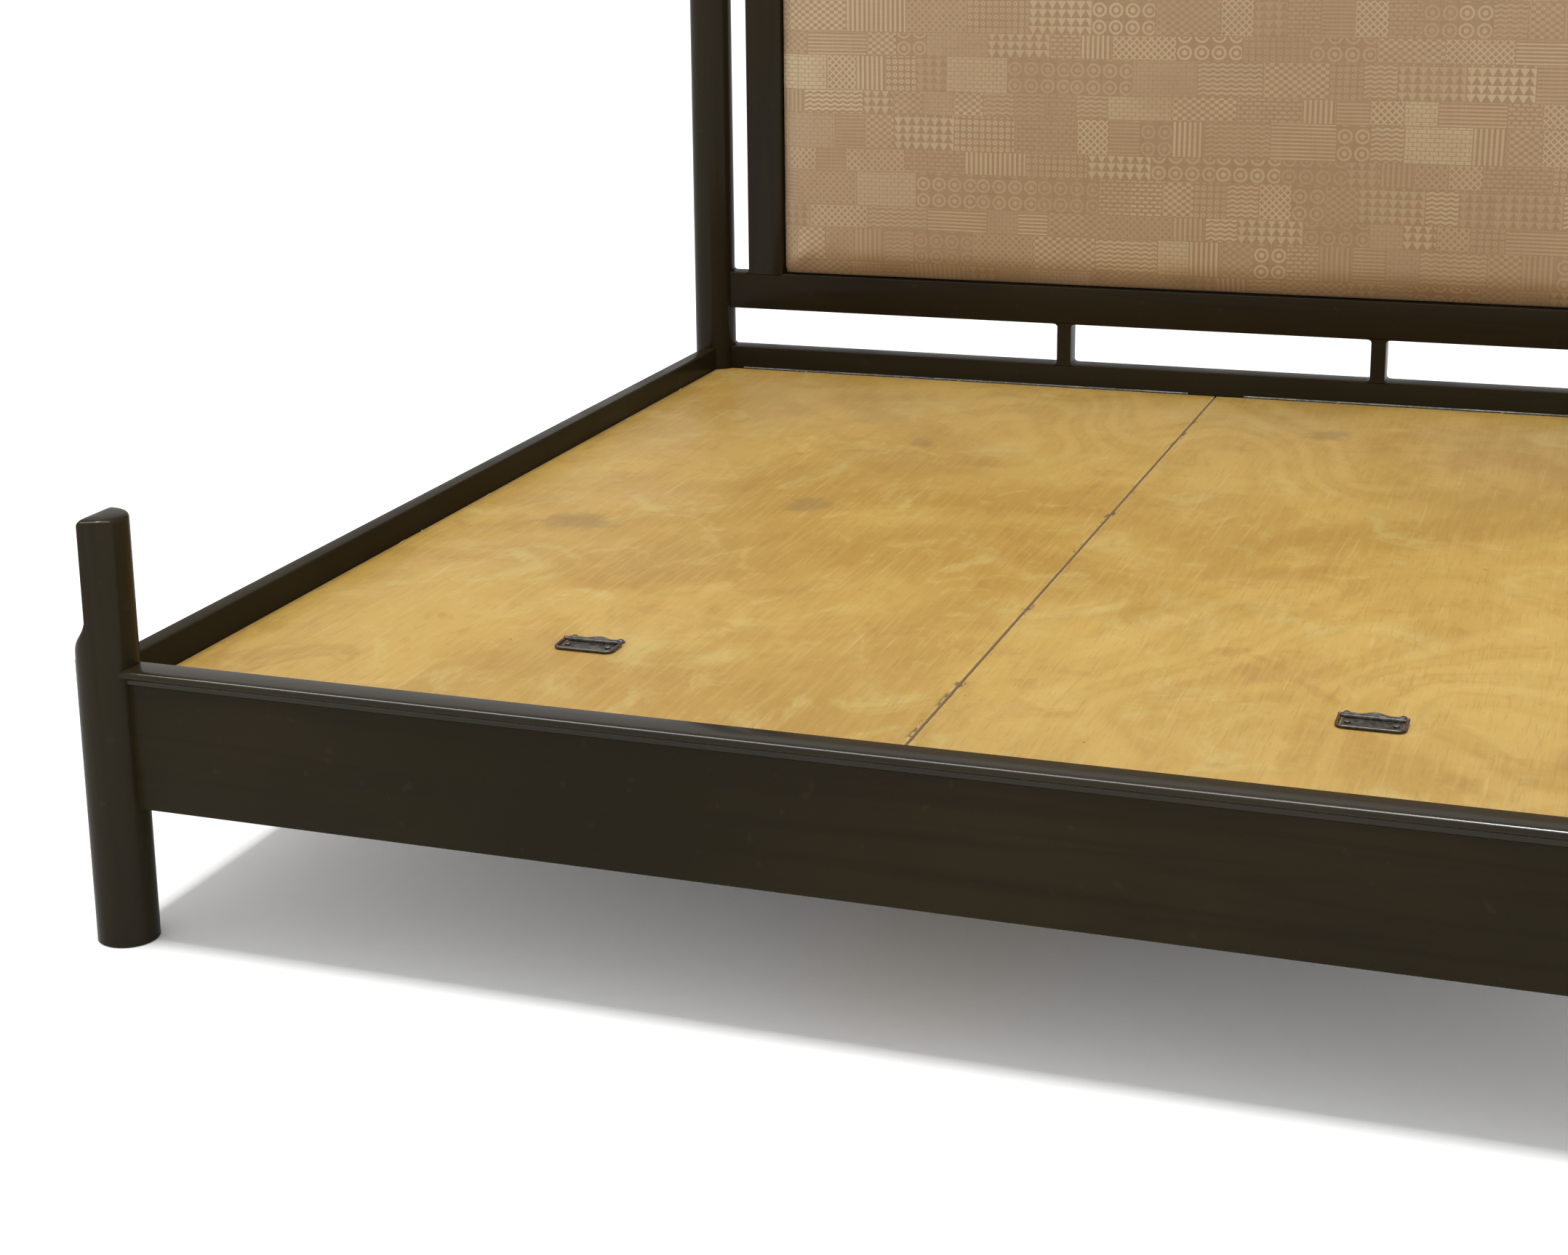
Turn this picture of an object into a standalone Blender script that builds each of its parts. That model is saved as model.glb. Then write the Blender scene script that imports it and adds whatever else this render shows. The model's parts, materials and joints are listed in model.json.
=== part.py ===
"""Platform bed with two lift-up deck panels over storage, round posts and an upholstered headboard.

Metres, +Z up, floor at z = 0. +Y runs from the foot of the bed to its head, and X is symmetric.
Every object is one solid piece. A moving piece has its origin on its hinge's axis.
"""

import math

import bmesh
import bpy
from mathutils import Matrix, Vector

# ---------------------------------------------------------------- driving dimensions
INNER_WIDTH = 1.945         # between the side rails: a king mattress, 1.93 m, and a little air
INNER_LENGTH = 2.085        # foot rail to head rail: the mattress, 2.03 m, and room for bedding
DECK_TOP = 0.322            # top of the plywood deck
RAIL_TOP = DECK_TOP + 0.041
RAIL_BOTTOM = RAIL_TOP - 0.183
POST_RADIUS = 0.039
GAP = 0.0003                # between pieces that touch

FOOT_POST_TOP = 0.554
HEAD_POST_TOP = 1.345
POST_HALF = 0.0055          # upper part of a post: its axis to the flat cut on its outer side
FACE_TO_AXIS = 0.013        # a rail's show face stands this far in front of the posts' axes
FOOT_RAIL_THICK = 0.0295
SIDE_RAIL_THICK = 0.0255
HEAD_RAIL_THICK = 0.042
CAP_DEPTH = 0.042           # foot cap, inner edge to nose
CAP_HEIGHT = 0.0205

OPENING_HEIGHT = 0.076      # the row of openings under the headboard panel
CROSS_RAIL_HEIGHT = 0.070
STILE_WIDTH = 0.0696
STILE_INSET = 0.0619        # side rail's inner face to the stile
PANEL_HEIGHT = 0.700
STRUT_WIDTH = 0.026
STRUT_OFFSET = 0.287        # a strut's centre from the bed's centre line
PAD_CROWN = 0.006
PAD_THICK = 0.024
BACKER_THICK = 0.009
BACK_COVER_THICK = 0.003

DECK_THICK = 0.018
SEAM = 0.004                # gap between the two deck panels
DECK_CLEARANCE = 0.002      # deck panel to side rail
NOTCH_CLEARANCE = 0.005     # deck panel to post, which lets the panel tip up
CLEAT_WIDTH = 0.022
CLEAT_HEIGHT = 0.030
BATTEN_WIDTH = 0.018
BATTEN_HEIGHT = 0.045
BEAM_WIDTH = 0.045
BEAM_FLANGE_WIDTH = 0.100
LEDGER_WIDTH = 0.020
LEDGER_HEIGHT = 0.012
STORAGE_FLOOR_THICK = 0.009
LEG_SIDE = 0.045
BLOCK_LEG = 0.085           # corner block, along each rail
BLOCK_HEIGHT = 0.065

HINGE_LENGTH = 0.870
HINGE_KNUCKLES = 9
HINGE_RADIUS = 0.0025
HINGE_PIN_RADIUS = 0.0012
HINGE_LEAF_THICK = 0.001
HINGE_LEAF_HEIGHT = 0.0165
HINGE_RISE = 0.0012         # pin's axis above the deck

HANDLE_FROM_FOOT = 0.354    # foot rail's inner face to the handle's barrel
HANDLE_OFF_MIDDLE = 0.4965  # bed's middle to a handle's middle
HANDLE_HALF_WIDTH = 0.0353
HANDLE_FRONT = 0.0335       # barrel's axis to the plate's front edge
HANDLE_CORNER = 0.0075
HANDLE_HUMP = 0.0262        # barrel's axis to the plate's wavy back edge, at its middle
HANDLE_VALLEY = 0.0175
EAR_RADIUS = 0.0062
PLATE_THICK = 0.0018
BARREL_RADIUS = 0.0037
BARREL_RISE = 0.0037        # barrel's axis above the deck
BORE_RADIUS = 0.0027
BORE_DEPTH = 0.010
BAIL_WIRE_RADIUS = 0.0023
BAIL_HALF_WIDTH = 0.0393
BAIL_REACH = 0.0372         # barrel's axis to the middle of the bail's front bar
BAIL_CORNER = 0.0095
LUG_LENGTH = 0.0022         # the bail's upturned stop, which meets the deck when the bail is lifted
LUG_TILT = 63               # degrees above the deck, pointing to the head
SCREW_HEAD_RADIUS = 0.0039
SCREW_HEAD_HEIGHT = 0.0021
SCREW_SHANK_RADIUS = 0.0018
SCREW_LENGTH = 0.011
SCREW_PLACES = ((-0.0280, -0.0185), (0.0280, -0.0185), (-0.0325, 0.0138), (0.0325, 0.0138))

# ---------------------------------------------------------------- places worked out from them
HALF_WIDTH = INNER_WIDTH / 2
FOOT_POST_OUT = FOOT_RAIL_THICK - FACE_TO_AXIS      # foot rail's inner face to the foot posts' axes
HEAD_POST_OUT = FACE_TO_AXIS                        # head rail's front face to the head posts' axes
OVERALL_LENGTH = INNER_LENGTH + FOOT_POST_OUT + HEAD_POST_OUT + 2 * POST_RADIUS
FOOT_Y = -OVERALL_LENGTH / 2 + POST_RADIUS + FOOT_POST_OUT
HEAD_Y = FOOT_Y + INNER_LENGTH
POST_X = HALF_WIDTH + SIDE_RAIL_THICK - FACE_TO_AXIS
FOOT_POST_Y = FOOT_Y - FOOT_POST_OUT
HEAD_POST_Y = HEAD_Y + HEAD_POST_OUT

OPENING_BOTTOM = RAIL_TOP + 0.0015
OPENING_TOP = OPENING_BOTTOM + OPENING_HEIGHT
PANEL_BOTTOM = OPENING_TOP + CROSS_RAIL_HEIGHT
PANEL_TOP = PANEL_BOTTOM + PANEL_HEIGHT
HEADBOARD_TOP = PANEL_TOP + CROSS_RAIL_HEIGHT
HEAD_BACK_Y = HEAD_Y + HEAD_RAIL_THICK
STILE_X = HALF_WIDTH - STILE_INSET                  # a stile's outer face
PANEL_X = STILE_X - STILE_WIDTH                     # its inner face

DECK_BOTTOM = DECK_TOP - DECK_THICK
SUPPORT_TOP = DECK_BOTTOM - GAP
FLOOR_BOTTOM = RAIL_BOTTOM + LEDGER_HEIGHT + GAP
HINGE_Y = HEAD_Y - HINGE_RADIUS - GAP
HINGE_Z = DECK_TOP + HINGE_RISE
DECK_HEAD_Y = HINGE_Y - HINGE_RADIUS - GAP
DECK_FOOT_Y = FOOT_Y + 0.003
DECK_MIDDLE_X = (SEAM / 2 + HALF_WIDTH - DECK_CLEARANCE) / 2
HANDLE_Y = FOOT_Y + HANDLE_FROM_FOOT
BARREL_Z = DECK_TOP + BARREL_RISE
SIDES = {"left": -1, "right": 1}


# ---------------------------------------------------------------- materials
def finish(name, colour, roughness, metallic=0.0):
    """A Principled material of one colour."""
    material = bpy.data.materials.new(name)
    material.use_nodes = True
    shader = material.node_tree.nodes["Principled BSDF"]
    shader.inputs["Base Color"].default_value = (*colour, 1)
    shader.inputs["Roughness"].default_value = roughness
    shader.inputs["Metallic"].default_value = metallic
    material.diffuse_color = (*colour, 1)
    return material


def make_finishes():
    return {
        "lacquer": finish("dark_lacquer", (0.022, 0.018, 0.014), 0.35),
        "plywood": finish("birch_plywood", (0.62, 0.42, 0.20), 0.55),
        "pine": finish("pine", (0.58, 0.42, 0.25), 0.65),
        "fabric": finish("woven_fabric", (0.42, 0.31, 0.21), 0.9),
        "bronze": finish("dark_bronze", (0.06, 0.045, 0.035), 0.4, 0.9),
        "steel": finish("zinc_steel", (0.30, 0.29, 0.27), 0.4, 0.9),
    }


# ---------------------------------------------------------------- meshes
def block_bmesh(low, high):
    bm = bmesh.new()
    size = Vector(high) - Vector(low)
    middle = (Vector(high) + Vector(low)) / 2
    bmesh.ops.create_cube(bm, size=1, matrix=Matrix.Translation(middle) @ Matrix.Diagonal((*size, 1)))
    return bm


def prism_bmesh(outline, along, start, stop):
    """An outline of (a, b) points pushed along an axis. a and b are the two other axes, in X, Y, Z order."""
    place = {
        "X": lambda a, b: (start, a, b),
        "Y": lambda a, b: (a, start, b),
        "Z": lambda a, b: (a, b, start),
    }[along]
    travel = Vector([stop - start if along == axis else 0 for axis in "XYZ"])
    bm = bmesh.new()
    face = bm.faces.new([bm.verts.new(place(a, b)) for a, b in outline])
    side = bmesh.ops.extrude_face_region(bm, geom=[face])
    moved = [item for item in side["geom"] if isinstance(item, bmesh.types.BMVert)]
    bmesh.ops.translate(bm, verts=moved, vec=travel)
    return bm


def cylinder_bmesh(centre, radius, depth, along="Z", steps=16, bm=None):
    """A closed cylinder, added to a bmesh when one is given."""
    turn = {
        "X": Matrix.Rotation(math.pi / 2, 4, "Y"),
        "Y": Matrix.Rotation(math.pi / 2, 4, "X"),
        "Z": Matrix.Identity(4),
    }[along]
    bm = bm or bmesh.new()
    bmesh.ops.create_cone(
        bm, cap_ends=True, segments=steps, radius1=radius, radius2=radius, depth=depth,
        matrix=Matrix.Translation(centre) @ turn,
    )
    return bm


def loft_bmesh(rings):
    """A solid through closed rings of the same number of points, flat at both ends."""
    bm = bmesh.new()
    count = len(rings[0])
    rows = [[bm.verts.new(point) for point in ring] for ring in rings]
    for lower, upper in zip(rows, rows[1:]):
        for i in range(count):
            j = (i + 1) % count
            bm.faces.new((lower[i], lower[j], upper[j], upper[i]))
    bm.faces.new(rows[0])
    bm.faces.new(rows[-1])
    return bm


def turned_bmesh(centre, profile, steps=16):
    """A lathe-turned solid about Z. The profile's (radius, height) points start and end off the axis."""
    rings = []
    for radius, height in profile:
        ring = []
        for i in range(steps):
            angle = 2 * math.pi * i / steps
            offset = Vector((radius * math.cos(angle), radius * math.sin(angle), height))
            ring.append(Vector(centre) + offset)
        rings.append(ring)
    return loft_bmesh(rings)


def tube_bmesh(path, radius, steps=12):
    """A round bar along a path that starts along X and stays near one plane."""
    rings = []
    side = Vector((0, 0, 1))
    for i, point in enumerate(path):
        before = path[max(i - 1, 0)]
        after = path[min(i + 1, len(path) - 1)]
        ahead = (after - before).normalized()
        side = (side - ahead * side.dot(ahead)).normalized()
        across = ahead.cross(side)
        ring = []
        for k in range(steps):
            angle = 2 * math.pi * k / steps
            ring.append(point + radius * (math.cos(angle) * side + math.sin(angle) * across))
        rings.append(ring)
    return loft_bmesh(rings)


def arc(centre, radius, start_deg, stop_deg, steps):
    """Points on an arc, both ends included."""
    points = []
    for i in range(steps + 1):
        angle = math.radians(start_deg + (stop_deg - start_deg) * i / steps)
        points.append((centre[0] + radius * math.cos(angle), centre[1] + radius * math.sin(angle)))
    return points


# ---------------------------------------------------------------- objects and modifiers
def new_object(name, bm, material, origin=(0, 0, 0)):
    """Makes the bmesh an object whose origin is at the given point, and frees it."""
    bmesh.ops.recalc_face_normals(bm, faces=bm.faces)
    bmesh.ops.translate(bm, verts=bm.verts, vec=-Vector(origin))
    mesh = bpy.data.meshes.new(name)
    bm.to_mesh(mesh)
    bm.free()
    mesh.materials.append(material)
    obj = bpy.data.objects.new(name, mesh)
    obj.location = origin
    bpy.context.scene.collection.objects.link(obj)
    return obj


def cutter(name, bm):
    obj = new_object(name, bm, None)
    obj.hide_render = True
    obj.display_type = "WIRE"
    return obj


def boolean(obj, tool, operation="DIFFERENCE"):
    modifier = obj.modifiers.new(tool.name, "BOOLEAN")
    modifier.operation = operation
    modifier.solver = "EXACT"
    modifier.object = tool


def smooth(obj):
    obj.data.shade_smooth()
    obj.data.set_sharp_from_angle(angle=math.radians(35))


def ease_edges(obj, width, segments=2):
    bevel = obj.modifiers.new("eased_edges", "BEVEL")
    bevel.width = width
    bevel.segments = segments
    bevel.limit_method = "ANGLE"
    bevel.angle_limit = math.radians(35)


def board(name, low, high, material, ease=0.0015, origin=(0, 0, 0)):
    obj = new_object(name, block_bmesh(low, high), material, origin)
    ease_edges(obj, ease)
    return obj


def span(side, near, far):
    """X limits of a piece on one side of the bed, lowest first."""
    return sorted((side * near, side * far))


# ---------------------------------------------------------------- posts
def post_angles():
    """Angles round a post, closer together where the flat's corners are. 0 points to the bed's middle."""
    corner = [94, 96.5, 98.5, 100.5, 103, 107, 113, 120, 130, 140, 150, 160, 170]
    right = [7.5 * i for i in range(13)] + corner
    return [math.radians(a) for a in right + [180] + [360 - a for a in reversed(right[1:])]]


def post_reach(angle, flat):
    """Distance from a post's axis to its surface: a circle cut by a soft-cornered flat on its outer side."""
    towards_flat = -math.cos(angle)
    if towards_flat < 0.02:
        return POST_RADIUS
    softness = 8
    straight = flat / towards_flat
    return (POST_RADIUS**-softness + straight**-softness) ** (-1 / softness)


def post_levels(top, shoulder_low, shoulder_high):
    """(height, flat's distance from the axis, inset) of each ring, from the floor to the domed top."""
    whole = 2.2 * POST_RADIUS
    ease, crown = 0.003, 0.008
    levels = [(0.0, whole, ease), (ease, whole, 0.0), (shoulder_low - 0.003, whole, 0.0)]
    steps = 8
    for i in range(steps + 1):
        share = i / steps
        swell = (1 + math.cos(math.pi * share)) / 2
        flat = POST_HALF + (POST_RADIUS * 1.05 - POST_HALF) * swell
        levels.append((shoulder_low + (shoulder_high - shoulder_low) * share, flat, 0.0))
    for degrees in (0, 25, 50, 72, 90):
        angle = math.radians(degrees)
        inset = crown * (1 - math.cos(angle)) * 0.7
        levels.append((top - crown * (1 - math.sin(angle)), POST_HALF, inset))
    return levels


def make_post(name, side, y, top, shoulder_low, shoulder_high, material):
    rings = []
    angles = post_angles()
    for height, flat, inset in post_levels(top, shoulder_low, shoulder_high):
        ring = []
        for angle in angles:
            reach = post_reach(angle, flat)
            reach -= inset * min(1, reach / POST_RADIUS * 1.6)
            ring.append((side * (POST_X - reach * math.cos(angle)), y + reach * math.sin(angle), height))
        rings.append(ring)
    post = new_object(name, loft_bmesh(rings), material, (side * POST_X, y, 0))
    smooth(post)


def make_posts(finishes):
    for side_name, side in SIDES.items():
        make_post(
            f"foot_post_{side_name}", side, FOOT_POST_Y, FOOT_POST_TOP,
            RAIL_TOP + 0.010, RAIL_TOP + 0.064, finishes["lacquer"],
        )
        make_post(
            f"head_post_{side_name}", side, HEAD_POST_Y, HEAD_POST_TOP,
            HEADBOARD_TOP + 0.004, HEADBOARD_TOP + 0.032, finishes["lacquer"],
        )


def post_cutters(clearance, label):
    """Upright cylinders round the four posts, which cope whatever meets a post."""
    cutters = {}
    for end, y in (("foot", FOOT_POST_Y), ("head", HEAD_POST_Y)):
        for side_name, side in SIDES.items():
            bm = cylinder_bmesh((side * POST_X, y, 0.7), POST_RADIUS + clearance, 2.0, steps=48)
            cutters[end, side_name] = cutter(f"{label}_{end}_{side_name}", bm)
    return cutters


def cope(obj, cutters, ends=("foot", "head"), sides=("left", "right")):
    for end in ends:
        for side_name in sides:
            boolean(obj, cutters[end, side_name])


# ---------------------------------------------------------------- rails round the deck
def cap_outline():
    """Section of the foot cap, (y, z): flat top, round nose, hollow under it, small lip over the rail."""
    nose = 0.0036
    outline = [(FOOT_Y, RAIL_TOP - CAP_HEIGHT), (FOOT_Y, RAIL_TOP)]
    outline += arc((FOOT_Y - CAP_DEPTH + nose, RAIL_TOP - nose), nose, 90, 235, 7)
    start = outline[-1]
    lip = (FOOT_Y - 0.0325, RAIL_TOP - CAP_HEIGHT + 0.0015)
    steps = 6
    for i in range(1, steps + 1):
        share = i / steps
        depth = 0.0050 * math.sin(math.pi * share)
        across = start[0] + (lip[0] - start[0]) * share + depth
        outline.append((across, start[1] + (lip[1] - start[1]) * share))
    outline.append((lip[0], RAIL_TOP - CAP_HEIGHT))
    return outline


def make_rails(finishes, coping):
    lacquer = finishes["lacquer"]
    foot_rail = board(
        "foot_rail", (-POST_X, FOOT_Y - FOOT_RAIL_THICK, RAIL_BOTTOM),
        (POST_X, FOOT_Y, RAIL_TOP - CAP_HEIGHT - GAP), lacquer,
    )
    cope(foot_rail, coping, ["foot"])
    cap = new_object("foot_rail_cap", prism_bmesh(cap_outline(), "X", -POST_X, POST_X), lacquer)
    smooth(cap)
    cope(cap, coping, ["foot"])
    head_rail = board(
        "head_rail", (-POST_X, HEAD_Y, RAIL_BOTTOM), (POST_X, HEAD_BACK_Y, OPENING_BOTTOM), lacquer,
    )
    cope(head_rail, coping, ["head"])
    for side_name, side in SIDES.items():
        low, high = span(side, HALF_WIDTH, HALF_WIDTH + SIDE_RAIL_THICK)
        rail = board(
            f"side_rail_{side_name}", (low, FOOT_POST_Y, RAIL_BOTTOM), (high, HEAD_POST_Y, RAIL_TOP), lacquer,
        )
        cope(rail, coping, sides=[side_name])


# ---------------------------------------------------------------- headboard
def make_headboard_frame(finishes, coping):
    lacquer = finishes["lacquer"]
    for name, low, high in (
        ("headboard_mid_rail", OPENING_TOP, PANEL_BOTTOM), ("headboard_top_rail", PANEL_TOP, HEADBOARD_TOP),
    ):
        rail = board(name, (-POST_X, HEAD_Y, low), (POST_X, HEAD_BACK_Y, high), lacquer, 0.003)
        cope(rail, coping, ["head"])
    for side_name, side in SIDES.items():
        low, high = span(side, PANEL_X, STILE_X)
        board(
            f"headboard_stile_{side_name}", (low, HEAD_Y, PANEL_BOTTOM + GAP),
            (high, HEAD_BACK_Y, PANEL_TOP - GAP), lacquer, 0.003,
        )
        low, high = span(side, STRUT_OFFSET - STRUT_WIDTH / 2, STRUT_OFFSET + STRUT_WIDTH / 2)
        board(
            f"headboard_strut_{side_name}", (low, HEAD_Y, OPENING_BOTTOM + GAP),
            (high, HEAD_BACK_Y, OPENING_TOP - GAP), lacquer, 0.003,
        )


def pad_ring(inset, y):
    """A round-cornered rectangle in the panel's opening, this far in from its edge."""
    half = PANEL_X - GAP - inset
    low = PANEL_BOTTOM + GAP + inset
    high = PANEL_TOP - GAP - inset
    corner = 0.010
    points = []
    for x, z, start in (
        (half - corner, high - corner, 0), (corner - half, high - corner, 90),
        (corner - half, low + corner, 180), (half - corner, low + corner, 270),
    ):
        points += arc((x, z), corner, start, start + 90, 4)
    return [(x, y, z) for x, z in points]


def make_headboard_panel(finishes):
    """The upholstered pad, the board that it's stretched on, and the thin board that closes the back."""
    back = HEAD_Y + PAD_THICK
    steps = ((0.0, 0.006), (0.004, 0.0005), (0.012, -0.003), (0.035, -0.0045), (0.120, -PAD_CROWN))
    rings = [pad_ring(0.0, back)] + [pad_ring(inset, HEAD_Y + forward) for inset, forward in steps]
    pad = new_object("headboard_pad", loft_bmesh(rings), finishes["fabric"])
    smooth(pad)
    front = back + GAP
    for name, thick, material in (
        ("headboard_backer", BACKER_THICK, finishes["plywood"]),
        ("headboard_back_cover", BACK_COVER_THICK, finishes["lacquer"]),
    ):
        board(
            name, (-PANEL_X + GAP, front, PANEL_BOTTOM + GAP), (PANEL_X - GAP, front + thick, PANEL_TOP - GAP),
            material, 0.0004,
        )
        front += thick + GAP


# ---------------------------------------------------------------- structure under the deck
def make_structure(finishes, coping):
    pine = finishes["pine"]
    flange, web = BEAM_FLANGE_WIDTH / 2, BEAM_WIDTH / 2
    ledge = RAIL_BOTTOM + LEDGER_HEIGHT
    outline = [
        (-flange, RAIL_BOTTOM), (flange, RAIL_BOTTOM), (flange, ledge), (web, ledge),
        (web, SUPPORT_TOP), (-web, SUPPORT_TOP), (-web, ledge), (-flange, ledge),
    ]
    new_object("centre_beam", prism_bmesh(outline, "Y", FOOT_Y + GAP, HEAD_Y - GAP), pine)
    for name, y in (("centre_leg_foot", FOOT_Y + 0.62), ("centre_leg_head", FOOT_Y + 1.45)):
        half = LEG_SIDE / 2
        board(name, (-half, y - half, 0), (half, y + half, RAIL_BOTTOM - GAP), pine, 0.003)

    for side_name, side in SIDES.items():
        low, high = span(side, HALF_WIDTH - GAP - CLEAT_WIDTH, HALF_WIDTH - GAP)
        start, stop = FOOT_Y + 0.030, HEAD_Y - 0.036
        cleat_low = SUPPORT_TOP - CLEAT_HEIGHT
        board(f"side_cleat_{side_name}", (low, start, cleat_low), (high, stop, SUPPORT_TOP), pine)
        low, high = span(side, HALF_WIDTH - GAP - LEDGER_WIDTH, HALF_WIDTH - GAP)
        board(f"floor_ledger_{side_name}", (low, start, RAIL_BOTTOM), (high, stop, ledge), pine)

        low, high = span(side, BEAM_WIDTH / 2 + GAP, HALF_WIDTH - CLEAT_WIDTH - 0.010)
        near, far = FOOT_Y + GAP, FOOT_Y + GAP + CLEAT_WIDTH
        board(f"foot_cleat_{side_name}", (low, near, cleat_low), (high, far, SUPPORT_TOP), pine)
        near, far = HEAD_Y - GAP - CLEAT_WIDTH, HEAD_Y - GAP
        board(f"head_cleat_{side_name}", (low, near, cleat_low), (high, far, SUPPORT_TOP), pine)

        low, high = span(side, BEAM_WIDTH / 2 + GAP, HALF_WIDTH - GAP)
        floor = board(
            f"storage_floor_{side_name}", (low, FOOT_Y + GAP, FLOOR_BOTTOM),
            (high, HEAD_Y - GAP, FLOOR_BOTTOM + STORAGE_FLOOR_THICK), finishes["plywood"], 0.0006,
        )
        cope(floor, coping, sides=[side_name])
        make_corner_blocks(side_name, side, pine, coping)


def make_corner_blocks(side_name, side, pine, coping):
    """Three-cornered blocks that tie a side rail to the foot and head rails, coped round the posts."""
    corner_x = HALF_WIDTH - GAP
    bottom = FLOOR_BOTTOM + STORAGE_FLOOR_THICK + GAP
    for end, corner_y, towards in (("foot", FOOT_Y + GAP, 1), ("head", HEAD_Y - GAP, -1)):
        outline = [
            (side * corner_x, corner_y),
            (side * corner_x, corner_y + towards * BLOCK_LEG),
            (side * (corner_x - BLOCK_LEG), corner_y),
        ]
        bm = prism_bmesh(outline, "Z", bottom, bottom + BLOCK_HEIGHT)
        block = new_object(f"corner_block_{end}_{side_name}", bm, pine)
        cope(block, coping, [end], [side_name])


# ---------------------------------------------------------------- lift-up deck panels
def screw_hole_cutter(side_name, side):
    """Clearance holes for a handle's four screws, through its plate and into the deck."""
    bm = bmesh.new()
    low, high = DECK_TOP - SCREW_LENGTH + 0.0010, DECK_TOP + 0.010
    for x, y in SCREW_PLACES:
        place = (side * HANDLE_OFF_MIDDLE + x, HANDLE_Y + y, (low + high) / 2)
        cylinder_bmesh(place, SCREW_SHANK_RADIUS + GAP, high - low, bm=bm)
    return cutter(f"cut_screw_holes_{side_name}", bm)


def make_lids(finishes, notches, screw_holes):
    axis = (0, HINGE_Y, HINGE_Z)
    for side_name, side in SIDES.items():
        low, high = span(side, SEAM / 2, HALF_WIDTH - DECK_CLEARANCE)
        origin = (side * DECK_MIDDLE_X, axis[1], axis[2])
        lid = board(
            f"lid_{side_name}", (low, DECK_FOOT_Y, DECK_BOTTOM), (high, DECK_HEAD_Y, DECK_TOP),
            finishes["plywood"], 0.0008, origin,
        )
        cope(lid, notches, sides=[side_name])
        boolean(lid, screw_holes[side_name])
        low, high = span(side, 0.035, HALF_WIDTH - CLEAT_WIDTH - 0.012)
        for end, y in (("foot", FOOT_Y + 0.65), ("head", FOOT_Y + 1.35)):
            board(
                f"lid_{side_name}_batten_{end}", (low, y, SUPPORT_TOP - BATTEN_HEIGHT),
                (high, y + BATTEN_WIDTH, SUPPORT_TOP), finishes["pine"], 0.0015, origin,
            )


# ---------------------------------------------------------------- long hinges
def knuckle_outline(leaf_side):
    """Section of a knuckle, (y, z): a round barrel with a neck running down into its leaf."""
    slim = 0.00005
    start = math.degrees(math.acos(1 - slim / HINGE_RADIUS))
    stop = math.degrees(math.acos(1 - (HINGE_LEAF_THICK - slim) / HINGE_RADIUS))
    round_part = arc((0, 0), HINGE_RADIUS, start, 360 - stop, 14)
    low = -HINGE_RADIUS - 0.0020
    outline = [(round_part[0][0], low)] + round_part + [(round_part[-1][0], low)]
    return [(HINGE_Y + leaf_side * y, HINGE_Z + z) for y, z in outline]


def hinge_leaf(name, side, leaf_side, first, material, origin):
    """A leaf with every second knuckle. leaf_side is 1 on the head rail and -1 on the deck panel."""
    start = side * DECK_MIDDLE_X - HINGE_LENGTH / 2
    pitch = HINGE_LENGTH / HINGE_KNUCKLES
    inner, outer = sorted(
        (HINGE_Y + leaf_side * (HINGE_RADIUS - HINGE_LEAF_THICK), HINGE_Y + leaf_side * HINGE_RADIUS)
    )
    leaf_top = HINGE_Z - HINGE_RADIUS - 0.0008
    leaf = new_object(
        name,
        block_bmesh((start, inner, HINGE_Z - HINGE_LEAF_HEIGHT), (start + HINGE_LENGTH, outer, leaf_top)),
        material, origin,
    )
    knuckles = bmesh.new()
    for k in range(first, HINGE_KNUCKLES, 2):
        trim_low = GAP / 2 if k else 0
        trim_high = GAP / 2 if k < HINGE_KNUCKLES - 1 else 0
        piece = prism_bmesh(
            knuckle_outline(leaf_side), "X", start + k * pitch + trim_low, start + (k + 1) * pitch - trim_high,
        )
        mesh = bpy.data.meshes.new("knuckle")
        bmesh.ops.recalc_face_normals(piece, faces=piece.faces)
        piece.to_mesh(mesh)
        piece.free()
        knuckles.from_mesh(mesh)
        bpy.data.meshes.remove(mesh)
    boolean(leaf, cutter(f"add_knuckles_{name}", knuckles), "UNION")
    bore = cylinder_bmesh(
        (side * DECK_MIDDLE_X, HINGE_Y, HINGE_Z), HINGE_PIN_RADIUS + GAP, HINGE_LENGTH + 0.01, "X",
    )
    boolean(leaf, cutter(f"cut_bore_{name}", bore))
    smooth(leaf)


def make_hinges(finishes):
    steel = finishes["steel"]
    for side_name, side in SIDES.items():
        origin = (side * DECK_MIDDLE_X, HINGE_Y, HINGE_Z)
        hinge_leaf(f"hinge_{side_name}_fixed_leaf", side, 1, 0, steel, (0, 0, 0))
        hinge_leaf(f"hinge_{side_name}_moving_leaf", side, -1, 1, steel, origin)
        pin = cylinder_bmesh(origin, HINGE_PIN_RADIUS, HINGE_LENGTH - 0.001, "X")
        smooth(new_object(f"hinge_{side_name}_pin", pin, steel))


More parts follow.
